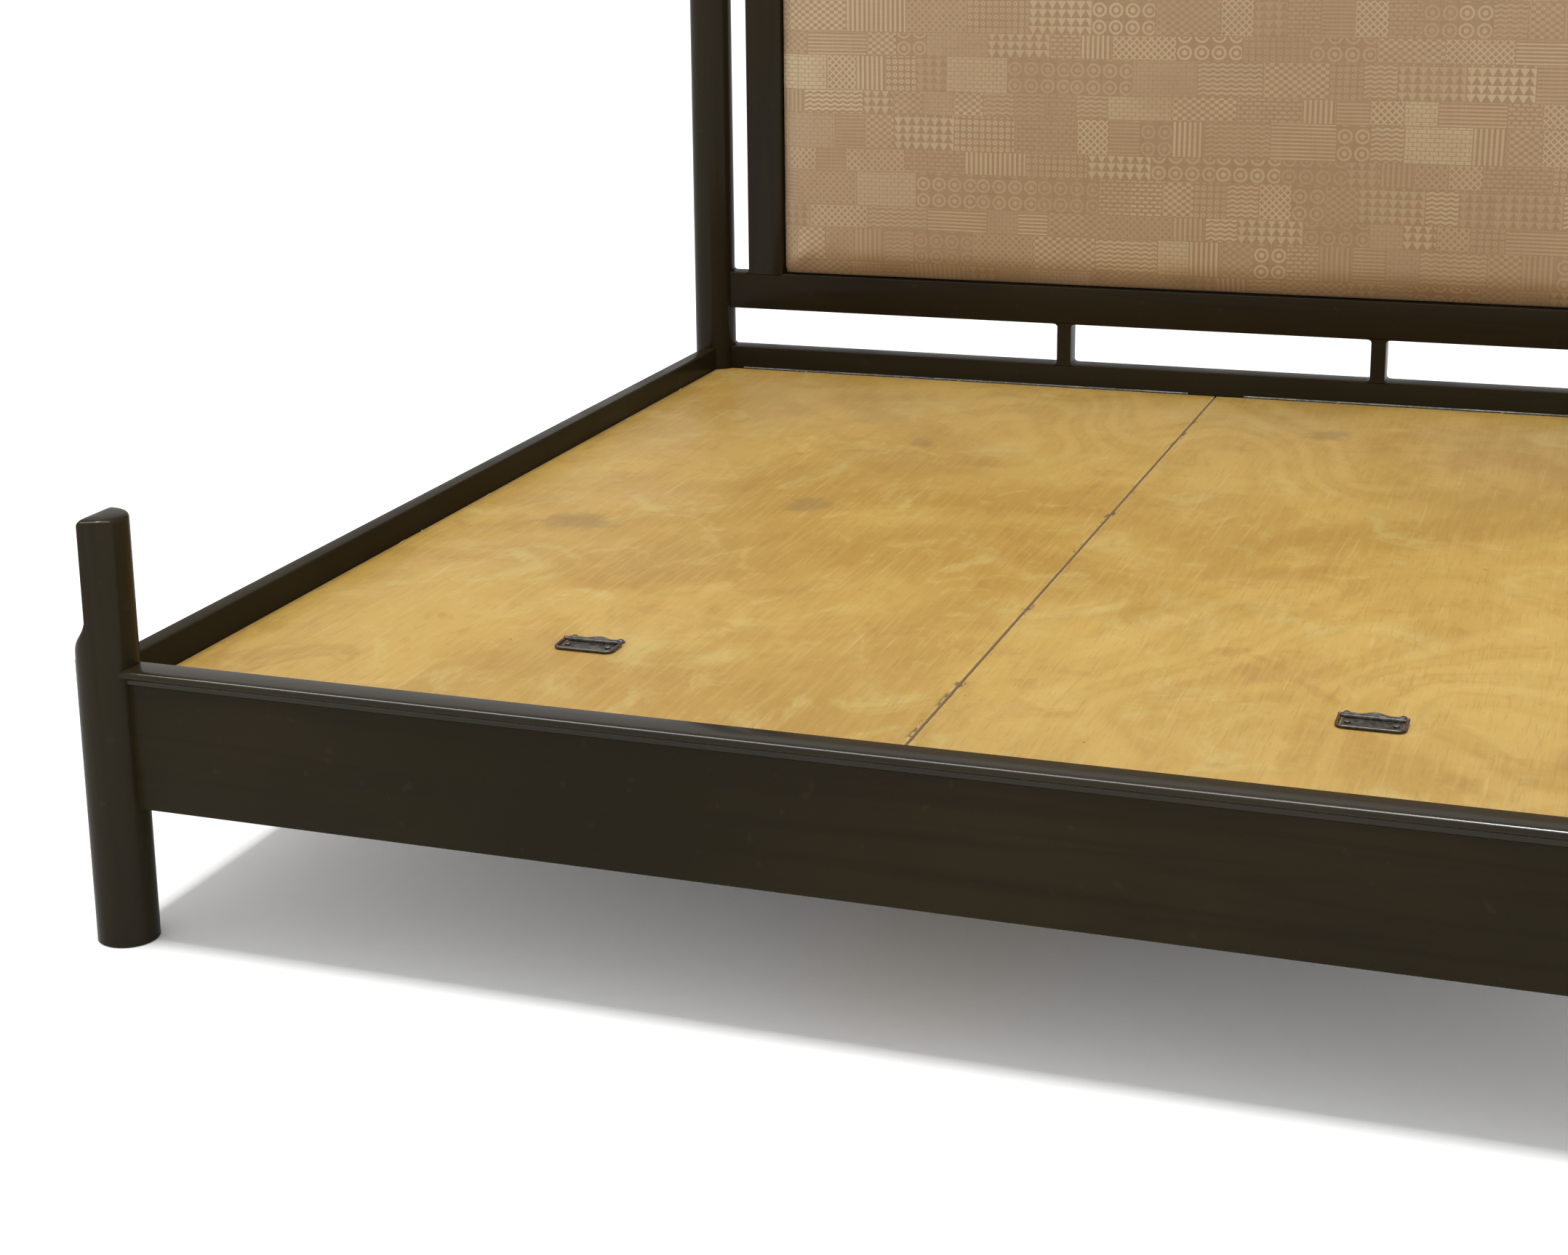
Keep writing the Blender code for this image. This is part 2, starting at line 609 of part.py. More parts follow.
# ---------------------------------------------------------------- folding handles
def plate_outline():
    """The handle's plate, (x, y) from the middle of its barrel: an ear at each back screw, a hump between."""
    side, front, corner = HANDLE_HALF_WIDTH, HANDLE_FRONT, HANDLE_CORNER
    half = arc((side - corner, corner - front), corner, -90, 0, 5)
    ear = (SCREW_PLACES[3][0], SCREW_PLACES[3][1])
    half += [(side, BARREL_RADIUS + 0.001)]
    half += arc(ear, EAR_RADIUS, -35, 120, 7)
    wave = [half[-1], (0.0195, HANDLE_VALLEY), (0.0, HANDLE_HUMP)]
    steps = 5
    for (x1, y1), (x2, y2) in zip(wave, wave[1:]):
        for i in range(1, steps + 1):
            share = i / steps
            ease = (1 - math.cos(math.pi * share)) / 2
            half.append((x1 + (x2 - x1) * share, y1 + (y2 - y1) * ease))
    return half + [(-x, y) for x, y in reversed(half[:-1])]


def make_plate(side_name, side, origin, material, screw_holes):
    x, y, z = origin
    low = DECK_TOP + GAP
    outline = [(x + a, y + b) for a, b in plate_outline()]
    plate = new_object(
        f"handle_{side_name}_plate", prism_bmesh(outline, "Z", low, low + PLATE_THICK), material, origin,
    )
    ridge = arc((y, z), BARREL_RADIUS, -20, 200, 14)
    ridge += [(ridge[-1][0], low + PLATE_THICK / 2), (ridge[0][0], low + PLATE_THICK / 2)]
    half = HANDLE_HALF_WIDTH - 0.0004
    boolean(plate, cutter(f"add_ridge_{side_name}", prism_bmesh(ridge, "X", x - half, x + half)), "UNION")
    bores = bmesh.new()
    for end in (-1, 1):
        middle = x + end * (HANDLE_HALF_WIDTH - BORE_DEPTH / 2 + 0.002)
        cylinder_bmesh((middle, y, z), BORE_RADIUS, BORE_DEPTH + 0.004, "X", bm=bores)
    boolean(plate, cutter(f"cut_bores_{side_name}", bores))
    boolean(plate, screw_holes)
    smooth(plate)


def bail_path(origin):
    """Middle of the bail's wire: in from one end of the barrel, round the front bar and back to the other end."""
    drop = BARREL_RISE - BAIL_WIRE_RADIUS - GAP
    inner = HANDLE_HALF_WIDTH - BORE_DEPTH + 0.001
    elbow = 0.0035
    half = [(inner, 0.0)]
    half += arc((BAIL_HALF_WIDTH - elbow, -elbow), elbow, 90, 0, 4)
    half += arc((BAIL_HALF_WIDTH - BAIL_CORNER, BAIL_CORNER - BAIL_REACH), BAIL_CORNER, 0, -90, 6)
    flat = half + [(-a, b) for a, b in reversed(half)]
    return [Vector(origin) + Vector((a, b, drop * b / BAIL_REACH)) for a, b in flat]


def make_bail(side_name, origin, material):
    bail = new_object(
        f"handle_{side_name}_bail", tube_bmesh(bail_path(origin), BAIL_WIRE_RADIUS), material, origin,
    )
    tilt = math.radians(LUG_TILT)
    direction = Vector((0, math.cos(tilt), math.sin(tilt)))
    for end_name, end in SIDES.items():
        root = Vector(origin) + Vector((end * (BAIL_HALF_WIDTH - 0.0003), 0, 0)) - direction * 0.0022
        turn = Vector((0, 0, 1)).rotation_difference(direction).to_matrix().to_4x4()
        radius = BAIL_WIRE_RADIUS * 0.98
        length = LUG_LENGTH + 0.0022
        profile = [
            (radius, 0), (radius, length), (radius * 0.85, length + 0.0009), (radius * 0.45, length + 0.0014),
        ]
        bm = turned_bmesh((0, 0, 0), profile, 12)
        bmesh.ops.transform(bm, matrix=Matrix.Translation(root) @ turn, verts=bm.verts)
        boolean(bail, cutter(f"add_lug_{side_name}_{end_name}", bm), "UNION")
    smooth(bail)


def make_screws(side_name, side, material):
    seat = DECK_TOP + GAP + PLATE_THICK + GAP
    profile = [
        (SCREW_SHANK_RADIUS * 0.35, -SCREW_LENGTH), (SCREW_SHANK_RADIUS, -SCREW_LENGTH + 0.002),
        (SCREW_SHANK_RADIUS, 0), (SCREW_HEAD_RADIUS, 0), (SCREW_HEAD_RADIUS, SCREW_HEAD_HEIGHT * 0.45),
        (SCREW_HEAD_RADIUS * 0.8, SCREW_HEAD_HEIGHT * 0.9), (SCREW_HEAD_RADIUS * 0.4, SCREW_HEAD_HEIGHT),
    ]
    for number, (x, y) in enumerate(SCREW_PLACES, 1):
        place = (side * HANDLE_OFF_MIDDLE + x, HANDLE_Y + y, seat)
        name = f"handle_{side_name}_screw_{number}"
        smooth(new_object(name, turned_bmesh(place, profile), material, place))


def make_handles(finishes, screw_holes):
    bronze = finishes["bronze"]
    for side_name, side in SIDES.items():
        origin = (side * HANDLE_OFF_MIDDLE, HANDLE_Y, BARREL_Z)
        make_plate(side_name, side, origin, bronze, screw_holes[side_name])
        make_bail(side_name, origin, bronze)
        make_screws(side_name, side, bronze)


# ---------------------------------------------------------------- the bed
def main():
    for obj in list(bpy.data.objects):
        bpy.data.objects.remove(obj, do_unlink=True)
    finishes = make_finishes()
    coping = post_cutters(GAP, "cut_cope")
    notches = post_cutters(NOTCH_CLEARANCE, "cut_notch")
    screw_holes = {name: screw_hole_cutter(name, side) for name, side in SIDES.items()}
    make_posts(finishes)
    make_rails(finishes, coping)
    make_headboard_frame(finishes, coping)
    make_headboard_panel(finishes)
    make_structure(finishes, coping)
    make_lids(finishes, notches, screw_holes)
    make_hinges(finishes)
    make_handles(finishes, screw_holes)


main()
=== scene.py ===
# %% [markdown]
# # A platform bed with lift-up storage
#
# A low frame of black-brown lacquered wood: four round posts, a moulded foot rail, two plain side rails and a
# headboard with an upholstered panel. The mattress lies on two plywood panels that lift by small folding handles. The
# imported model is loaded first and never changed, and every piece made here rides on one of its bodies.

# %% Load the frame
import json
import math
import random

import bmesh
import bpy
from mathutils import Matrix, Vector, noise

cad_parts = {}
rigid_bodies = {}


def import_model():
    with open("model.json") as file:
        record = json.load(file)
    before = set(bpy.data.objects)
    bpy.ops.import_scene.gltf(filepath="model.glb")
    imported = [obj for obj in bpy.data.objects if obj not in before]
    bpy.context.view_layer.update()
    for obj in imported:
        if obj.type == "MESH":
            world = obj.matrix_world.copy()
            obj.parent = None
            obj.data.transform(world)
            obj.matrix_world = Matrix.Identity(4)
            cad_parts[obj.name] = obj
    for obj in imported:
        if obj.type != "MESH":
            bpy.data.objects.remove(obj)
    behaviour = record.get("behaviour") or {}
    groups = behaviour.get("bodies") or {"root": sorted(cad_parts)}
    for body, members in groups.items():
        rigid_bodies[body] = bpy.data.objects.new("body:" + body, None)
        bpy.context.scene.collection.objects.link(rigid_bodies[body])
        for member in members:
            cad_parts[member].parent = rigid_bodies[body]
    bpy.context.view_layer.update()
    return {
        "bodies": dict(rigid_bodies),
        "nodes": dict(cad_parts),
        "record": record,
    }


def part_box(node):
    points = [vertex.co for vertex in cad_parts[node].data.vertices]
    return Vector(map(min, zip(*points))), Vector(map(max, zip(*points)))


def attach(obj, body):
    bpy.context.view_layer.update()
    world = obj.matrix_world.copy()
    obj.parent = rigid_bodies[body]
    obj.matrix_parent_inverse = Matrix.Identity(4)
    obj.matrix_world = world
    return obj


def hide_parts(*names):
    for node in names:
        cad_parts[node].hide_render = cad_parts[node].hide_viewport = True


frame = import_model()
print("bodies:", ", ".join(frame["bodies"]))

# %% [markdown]
# The camera comes first, because it decides which details matter. A long lens at chest height looks across the foot
# of the bed. Its lens is shifted a little, so that upright posts stay nearly upright.

# %% Camera
def add_object(name, data):
    made = bpy.data.objects.new(name, data)
    bpy.context.scene.collection.objects.link(made)
    return made


def place_camera(location, heading, tilt, roll, lens, shift):
    data = bpy.data.cameras.new("camera")
    data.lens = lens
    data.sensor_width = 36
    data.shift_x, data.shift_y = shift
    data.clip_end = 60
    camera = add_object("camera", data)
    turn = Matrix.Rotation(math.radians(heading), 4, "Z")
    turn = turn @ Matrix.Rotation(math.radians(90 + tilt), 4, "X")
    turn = turn @ Matrix.Rotation(math.radians(roll), 4, "Z")
    camera.matrix_world = Matrix.Translation(location) @ turn
    bpy.context.scene.camera = camera


place_camera((0.8156, -3.6537, 1.3458), 20.527, -14.512, -0.898, 59.95, (0.0304, -0.0794))
print("camera lens", round(bpy.context.scene.camera.data.lens, 2), "mm")

# %% [markdown]
# Every new piece needs the same last steps: outward normals, a mesh object at the origin, a body to ride on and the
# plain solid that it stands for. Small helpers do them, and the few bmesh moves that most shapes here share.

# %% Helper that finishes a piece
BODY_OF = {node: body for body, nodes in frame["record"]["behaviour"]["bodies"].items() for node in nodes}
SLOT_OF = {part["node"]: part["material_slot"] for part in frame["record"]["subparts"]}


def finish_piece(name, bm, material, stands_for=(), body=None, sharp=35):
    """Turns a bmesh into a finished piece that rides on a body. It takes its body from the node it stands for."""
    bmesh.ops.recalc_face_normals(bm, faces=bm.faces)
    mesh = bpy.data.meshes.new(name)
    bm.to_mesh(mesh)
    bm.free()
    mesh.materials.append(material)
    mesh.shade_smooth()
    mesh.set_sharp_from_angle(angle=math.radians(sharp))
    piece = add_object(name, mesh)
    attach(piece, body or BODY_OF[stands_for[0]])
    if stands_for:
        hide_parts(*stands_for)
    return piece


def corners(node):
    return tuple(Vector(corner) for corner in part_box(node))


def faces_in(items):
    return [item for item in items if isinstance(item, bmesh.types.BMFace)]


def verts_in(items):
    return [item for item in items if isinstance(item, bmesh.types.BMVert)]


def add_disc(bm, radius, segments):
    """A round face at the origin, to be pushed out ring by ring."""
    return bmesh.ops.create_circle(bm, cap_ends=True, segments=segments, radius=radius)["verts"][0].link_faces[0]


def push_out(bm, faces):
    """Extrudes faces and returns the new ones, leaving none of the old ones inside a solid."""
    chosen = set(faces)
    attached = any(other not in chosen for face in faces for edge in face.edges for other in edge.link_faces)
    grown = bmesh.ops.extrude_face_region(bm, geom=faces)["geom"]
    if attached:
        bmesh.ops.delete(bm, geom=faces, context="FACES")
    return faces_in(grown)


def thicken(bm, step):
    """Extrudes every face by a step, which turns a flat outline into a solid."""
    grown = bmesh.ops.extrude_face_region(bm, geom=bm.faces[:])["geom"]
    bmesh.ops.translate(bm, vec=step, verts=verts_in(grown))


def bevel(bm, geom, offset, segments, affect="EDGES", clamp=False):
    bmesh.ops.bevel(
        bm, geom=geom, offset=offset, segments=segments, profile=0.5, affect=affect, material=-1, clamp_overlap=clamp
    )


def rims_of(bm, axis, angle=60):
    """Edges round the two flat ends of a solid that was thickened along an axis."""
    return [e for e in bm.edges if len(e.link_faces) == 2 and e.calc_face_angle() > math.radians(angle)
            and abs(e.verts[0].co[axis] - e.verts[1].co[axis]) < 1e-6]


print(len(BODY_OF), "nodes to finish")

# %% [markdown]
# Materials come from a few ideas that repeat: cloudy variation, fine streaks along the grain, small specks. A short
# recipe class adds and links nodes, and each effect that more than one finish needs becomes a node group.

# %% A recipe writer for node trees
class Recipe:
    """Adds nodes to a tree. Every method returns a socket, and takes sockets or plain values."""

    def __init__(self, tree):
        self.tree = tree

    def put(self, socket, value):
        if isinstance(value, bpy.types.NodeSocket):
            self.tree.links.new(value, socket)
        elif isinstance(value, (int, float)):
            socket.default_value = value
        else:
            filled = tuple(value)
            socket.default_value = filled + (1.0,) * (len(socket.default_value) - len(filled))

    def node(self, kind, values=(), **settings):
        node = self.tree.nodes.new(kind)
        for key, setting in settings.items():
            setattr(node, key, setting)
        for key, value in dict(values).items():
            self.put(node.inputs[key], value)
        return node

    def math(self, operation, a, b=0.0):
        return self.node("ShaderNodeMath", {0: a, 1: b}, operation=operation).outputs[0]

    def add(self, a, b):
        return self.math("ADD", a, b)

    def sub(self, a, b):
        return self.math("SUBTRACT", a, b)

    def mul(self, a, b):
        return self.math("MULTIPLY", a, b)

    def most(self, *values):
        largest = values[0]
        for value in values[1:]:
            largest = self.math("MAXIMUM", largest, value)
        return largest

    def noise(self, vector, scale, detail=2.0, roughness=0.5, distortion=0.0):
        values = {"Vector": vector, "Scale": scale, "Detail": detail, "Roughness": roughness, "Distortion": distortion}
        return self.node("ShaderNodeTexNoise", values).outputs["Fac"]

    def stretch(self, vector, scale, location=(0, 0, 0), rotation=(0, 0, 0)):
        values = {"Vector": vector, "Scale": scale, "Location": location, "Rotation": rotation}
        return self.node("ShaderNodeMapping", values).outputs[0]

    def step(self, value, low, high, to_low=0.0, to_high=1.0):
        """Smoothly from to_low to to_high as the value goes from low to high."""
        values = {"Value": value, "From Min": low, "From Max": high, "To Min": to_low, "To Max": to_high}
        return self.node("ShaderNodeMapRange", values, interpolation_type="SMOOTHSTEP").outputs[0]

    def blend(self, factor, a, b, how="MIX"):
        node = self.node("ShaderNodeMix", data_type="RGBA", blend_type=how)
        for number, value in ((0, factor), (6, a), (7, b)):
            self.put(node.inputs[number], value)
        return node.outputs[2]

    def tints(self, colour, *rows):
        """Lays tints over a colour. A row is (mask, amount, tint), or (mask, low, high, amount, tint)."""
        for mask, *step, amount, tint in rows:
            share = self.step(mask, *step, 0.0, amount) if step else self.mul(mask, amount)
            colour = self.blend(share, colour, tint)
        return colour

    def split(self, vector):
        return self.node("ShaderNodeSeparateXYZ", {0: vector}).outputs

    def join(self, x, y, z):
        return self.node("ShaderNodeCombineXYZ", {0: x, 1: y, 2: z}).outputs[0]

    def bump(self, height, distance, strength=1.0):
        return self.node("ShaderNodeBump", {"Height": height, "Distance": distance, "Strength": strength}).outputs[0]

    def place(self):
        return self.node("ShaderNodeTexCoord").outputs["Object"]

    def group(self, group, **values):
        node = self.node("ShaderNodeGroup", node_tree=group)
        for key, value in values.items():
            self.put(node.inputs[key.replace("_", " ")], value)
        return node.outputs


def new_group(name, inputs, outputs):
    """An empty node group with (name, type, default) inputs and named outputs, and its recipe."""
    tree = bpy.data.node_groups.new(name, "ShaderNodeTree")
    for label, kind, default in inputs:
        socket = tree.interface.new_socket(label, in_out="INPUT", socket_type=f"NodeSocket{kind}")
        if default is not None:
            socket.default_value = default
    for label, kind in outputs:
        tree.interface.new_socket(label, in_out="OUTPUT", socket_type=f"NodeSocket{kind}")
    recipe = Recipe(tree)
    return tree, recipe, recipe.node("NodeGroupInput").outputs, recipe.node("NodeGroupOutput").inputs


def new_finish(name, **sockets):
    """A material with plain values on its Principled shader, and its recipe."""
    material = bpy.data.materials.new(name)
    material.use_nodes = True
    shader = material.node_tree.nodes["Principled BSDF"]
    for key, value in sockets.items():
        shader.inputs[key.replace("_", " ")].default_value = value
    return material, Recipe(material.node_tree), shader.inputs


print("recipe writer ready")

# %% [markdown]
# Handled surfaces share one unevenness: cloudy smudges, hairline scratches and a few dust specks. A scratch is a
# noise squeezed hard along one direction and cut off near its top, and turned copies give more directions.

# %% The handling group
def make_handling_group():
    tree, r, given, out = new_group(
        "handling",
        [("Vector", "Vector", None), ("Smudge Scale", "Float", 6.0), ("Scratch Scale", "Float", 60.0)],
        [("Smudge", "Float"), ("Scratch", "Float"), ("Speck", "Float")],
    )
    vector = given["Vector"]
    r.put(out["Smudge"], r.step(r.noise(vector, given["Smudge Scale"], 4.0, 0.6, 0.6), 0.35, 0.68))
    lines = []
    for turn in (0.35, 1.25, 2.3):
        thin = r.stretch(vector, (1.0, 0.035, 1.0), rotation=(0, 0, turn))
        lines.append(r.step(r.noise(thin, given["Scratch Scale"], 1.0, 0.4), 0.74, 0.80))
    r.put(out["Scratch"], r.most(*lines))
    cell = r.node("ShaderNodeTexVoronoi", {"Vector": vector, "Scale": 42.0})
    small = r.step(cell.outputs["Distance"], 0.050, 0.016)
    some = r.step(r.split(cell.outputs["Color"])[0], 0.80, 0.82)
    r.put(out["Speck"], r.mul(small, some))
    return tree


handling = make_handling_group()
print("group", handling.name, "has", [item.name for item in handling.interface.items_tree])

# %% [markdown]
# Every wood has a direction. This group turns Object coordinates into fibres along one axis, and broader growth bands
# beside each other across it. The axis with the small squeeze is the one that the grain follows.

# %% The grain group
def make_grain_group():
    tree, r, given, out = new_group(
        "wood_grain",
        [("Vector", "Vector", None), ("Squeeze", "Vector", (1.0, 0.05, 1.0)), ("Fibre Scale", "Float", 160.0),
         ("Band Scale", "Float", 22.0)],
        [("Fibre", "Float"), ("Band", "Float"), ("Pore", "Float")],
    )
    values = {0: given["Vector"], 1: given["Squeeze"]}
    squeezed = r.node("ShaderNodeVectorMath", values, operation="MULTIPLY").outputs[0]
    r.put(out["Fibre"], r.noise(squeezed, given["Fibre Scale"], 4.0, 0.65))
    r.put(out["Band"], r.noise(squeezed, given["Band Scale"], 3.0, 0.55, 1.2))
    r.put(out["Pore"], r.step(r.noise(squeezed, r.mul(given["Fibre Scale"], 2.6), 1.0, 0.5), 0.60, 0.72))
    return tree


grain = make_grain_group()
SQUEEZE = {"x": (0.05, 1.0, 1.0), "y": (1.0, 0.05, 1.0), "z": (1.0, 1.0, 0.05)}
print("group", grain.name, "ready")

# %% [markdown]
# The lacquer is nearly black, with a warm olive brown in it. A dark base with hardly any shine lies under a thin
# smooth coat, which draws crisp lights on rounds and mouldings and leaves the flat faces deep. The cap's copy is
# polished by hands and sheets.

# %% Lacquer
def make_lacquer(name, axis, coat, smooth=0.16):
    material, r, shader = new_finish(name, Specular_IOR_Level=0.02, Coat_Weight=coat, Coat_Roughness=smooth)
    place = r.place()
    hands = r.group(handling, Vector=place, Smudge_Scale=5.0, Scratch_Scale=45.0)
    wood = r.group(grain, Vector=place, Squeeze=SQUEEZE[axis], Fibre_Scale=230.0, Band_Scale=30.0)
    cloud = r.noise(place, 1.7, 3.0, 0.6)
    colour = r.blend(r.step(cloud, 0.3, 0.7), (0.0165, 0.0120, 0.0052), (0.0232, 0.0172, 0.0074))
    colour = r.tints(
        colour,
        (wood["Band"], 0.45, 0.70, 0.5, (0.0150, 0.0105, 0.0060)),
        (hands["Scratch"], 0.10, (0.060, 0.048, 0.032)),
        (hands["Speck"], 0.10, (0.20, 0.18, 0.15)),
    )
    r.put(shader["Base Color"], colour)
    rough = r.add(r.step(hands["Smudge"], 0.0, 1.0, 0.30, 0.40), r.mul(hands["Scratch"], 0.06))
    r.put(shader["Roughness"], r.add(rough, r.mul(wood["Fibre"], 0.06)))
    peel = r.noise(place, 170.0, 2.0, 0.5)
    height = r.add(r.mul(wood["Fibre"], 0.6), r.mul(peel, 0.4))
    r.put(shader["Normal"], r.bump(r.sub(height, r.mul(wood["Pore"], 0.5)), 0.00006, 0.7))
    return material


COATS = {"x": 0.08, "y": 0.08, "z": 0.15}
lacquer = {axis: make_lacquer(f"lacquer_grain_{axis}", axis, coat) for axis, coat in COATS.items()}
polished_lacquer = make_lacquer("lacquer_polished", "x", 0.40, 0.14)
print("lacquer with its grain along", ", ".join(lacquer))

# %% [markdown]
# The deck is rotary-cut veneer plywood under a thin yellowed clear coat. The cut wanders through the tree's rings, so
# the figure is curling bands, which are contour lines of a slow noise. On top come honey, amber and greenish clouds,
# water stains, scratches and a darker band along the edges by the rails. Painted shade darkens the deck towards the
# head end and, with dark scuffs, along the seam.

# %% Deck plywood
EDGE_X, EDGE_Y, STAIN_HEIGHT = 0.9705, 1.0378, 0.322
STAINS = [  # (x, y, radius)
    (-0.455, 0.070, 0.055), (-0.405, 0.520, 0.040), (-0.760, -0.130, 0.070), (0.240, 0.780, 0.050),
]


def make_deck_plywood():
    material, r, shader = new_finish("deck_plywood", Specular_IOR_Level=0.30)
    place = r.place()
    x, y, z = r.split(place)
    hands = r.group(handling, Vector=place, Smudge_Scale=2.4, Scratch_Scale=120.0)
    wood = r.group(grain, Vector=place, Squeeze=SQUEEZE["y"], Fibre_Scale=150.0, Band_Scale=7.0)

    field = r.noise(r.stretch(place, (1.55, 0.85, 1.0), location=(0.9, 0.35, 0)), 1.05, 1.6, 0.42, 0.35)
    field = r.add(field, r.mul(r.noise(place, 6.0, 3.0, 0.6), 0.035))
    wave = r.math("SINE", r.mul(field, 105.0))
    rings = r.math("POWER", r.step(wave, -1.0, 1.0), 2.6)
    shows = r.step(r.noise(place, 1.5, 2.0, 0.5), 0.44, 0.64)
    figure = r.mul(rings, shows)

    cloud = r.noise(place, 2.1, 6.0, 0.62, 0.7)
    blotch = r.noise(r.stretch(place, (1.3, 1.0, 1.0), location=(3.1, 1.7, 0)), 5.5, 5.0, 0.68, 0.9)
    colour = r.blend(r.step(cloud, 0.34, 0.66), (0.340, 0.193, 0.031), (0.425, 0.265, 0.054))
    mottle = r.noise(r.stretch(place, (1.0, 0.7, 1.0), location=(7.3, 4.1, 0)), 14.0, 5.0, 0.7, 0.6)
    edge = r.mul(r.step(wave, 0.25, -0.35), r.step(wave, -0.95, -0.35))
    colour = r.tints(
        colour,
        (blotch, 0.52, 0.70, 0.55, (0.450, 0.345, 0.112)),
        (blotch, 0.46, 0.30, 0.55, (0.300, 0.155, 0.024)),
        (mottle, 0.54, 0.72, 0.40, (0.520, 0.352, 0.110)),
        (mottle, 0.45, 0.30, 0.35, (0.290, 0.165, 0.030)),
        (figure, 0.22, (0.545, 0.370, 0.112)),
        (r.mul(edge, shows), 0.12, (0.295, 0.165, 0.036)),
        (wood["Fibre"], 0.42, 0.74, 0.30, (0.500, 0.335, 0.100)),
        (wood["Pore"], 0.22, (0.235, 0.130, 0.032)),
    )

    wobble = r.noise(place, 17.0, 4.0, 0.65)
    for stain_x, stain_y, size in STAINS:
        off = r.node("ShaderNodeVectorMath", {0: place, 1: (stain_x, stain_y, STAIN_HEIGHT)}, operation="DISTANCE")
        edge_of = r.add(off.outputs["Value"], r.mul(r.sub(wobble, 0.5), 0.11))
        colour = r.blend(r.step(edge_of, size, size * 0.35, 0.0, 0.52), colour, (0.200, 0.125, 0.040))
    spots = r.step(r.noise(place, 75.0, 2.0, 0.5), 0.745, 0.80)
    side = r.math("ABSOLUTE", x)
    to_rail = r.math("MINIMUM", r.sub(EDGE_X, side), r.add(y, EDGE_Y))
    ragged = r.mul(r.sub(r.noise(place, 60.0, 3.0, 0.6), 0.5), 0.010)
    chipped = r.mul(r.sub(r.noise(place, 95.0, 3.0, 0.7), 0.5), 0.012)
    seam_scuff_and_shade = r.step(r.noise(r.stretch(place, (1.0, 0.35, 1.0), location=(5, 2, 0)), 70.0, 3.0, 0.6), 0.60, 0.68)
    colour = r.tints(
        colour,
        (hands["Scratch"], 0.14, (0.620, 0.480, 0.230)),
        # painted shade: the deck darkens towards the head end, where less light falls
        (y, -0.4, 1.05, 0.20, (0.300, 0.180, 0.040)),
        (spots, 0.55, (0.130, 0.075, 0.028)),
        (hands["Speck"], 0.55, (0.700, 0.600, 0.400)),
        # darker within about a centimetre of the rails
        (r.add(to_rail, ragged), 0.012, 0.0, 0.5, (0.120, 0.072, 0.028)),
        (r.add(side, chipped), 0.0040, 0.0018, 0.45, (0.520, 0.410, 0.230)),
        # dark scuffs along the seam, partly wear and partly painted shade in the gap between the two panels
        (r.mul(seam_scuff_and_shade, r.step(side, 0.010, 0.003)), 0.8, (0.060, 0.035, 0.018)),
    )

    up = r.split(r.node("ShaderNodeNewGeometry").outputs["Normal"])[2]
    on_side = r.step(r.math("ABSOLUTE", up), 0.55, 0.35)
    ply = r.math("SINE", r.mul(z, 2400.0))
    layers = r.blend(r.step(ply, -0.25, 0.25), (0.330, 0.200, 0.090), (0.560, 0.420, 0.220))
    r.put(shader["Base Color"], r.blend(on_side, colour, layers))
    rough = r.step(hands["Smudge"], 0.0, 1.0, 0.44, 0.60)
    r.put(shader["Roughness"], r.add(rough, r.mul(on_side, 0.25)))
    height = r.sub(wood["Fibre"], r.mul(r.add(wood["Pore"], hands["Scratch"]), 0.6))
    r.put(shader["Normal"], r.bump(height, 0.00022, 0.6))
    return material


deck_plywood = make_deck_plywood()
print("deck plywood has", len(deck_plywood.node_tree.nodes), "nodes")

# %% [markdown]
# Under the deck the timber is plain sawn pine: pale, with brown bands and a knot here and there. The boards that
# close the storage from below are sealed in pale grey against damp.

# %% Pine and sealed board
def make_timber(name, axis, pale, dark, knots=1.0):
    material, r, shader = new_finish(name, Specular_IOR_Level=0.25)
    place = r.place()
    hands = r.group(handling, Vector=place, Smudge_Scale=7.0, Scratch_Scale=40.0)
    wood = r.group(grain, Vector=place, Squeeze=SQUEEZE[axis], Fibre_Scale=180.0, Band_Scale=42.0)
    cell = r.node("ShaderNodeTexVoronoi", {"Vector": r.stretch(place, tuple(6.0 if a != axis else 3.0 for a in "xyz"))})
    knot = r.mul(r.step(cell.outputs["Distance"], 0.10, 0.04), r.step(r.split(cell.outputs["Color"])[1], 0.66, 0.68))
    colour = r.tints(
        r.blend(r.step(wood["Band"], 0.42, 0.66), pale, dark),
        (wood["Fibre"], 0.45, 0.72, 0.35, tuple(min(1, c * 1.25) for c in pale)),
        (knot, 0.75 * knots, (0.110, 0.052, 0.022)),
        (hands["Smudge"], 0.22, tuple(c * 0.6 for c in dark)),
    )
    r.put(shader["Base Color"], colour)
    r.put(shader["Roughness"], r.step(wood["Fibre"], 0.3, 0.7, 0.55, 0.72))
    r.put(shader["Normal"], r.bump(r.sub(wood["Fibre"], r.mul(wood["Pore"], 0.5)), 0.0003, 0.6))
    return material


pine = {axis: make_timber(f"pine_grain_{axis}", axis, (0.520, 0.350, 0.165), (0.400, 0.235, 0.095)) for axis in "xyz"}
sealed_board = make_timber("sealed_board", "y", (0.560, 0.555, 0.545), (0.510, 0.505, 0.495), 0.0)
print("timber finishes:", len(pine) + 1)

# %% [markdown]
# The headboard's cloth has a tone-on-tone print: a patchwork of plain little shapes in pale ink on tan. First the
# cloth is cut into patches, in tall and low rows by turns, some patches halved. Then a random number for each patch
# picks its filling from ten simple ones, and another sometimes swaps ink and ground. All of it is arithmetic on the
# place in the cloth, so its edges are crisp at any distance.

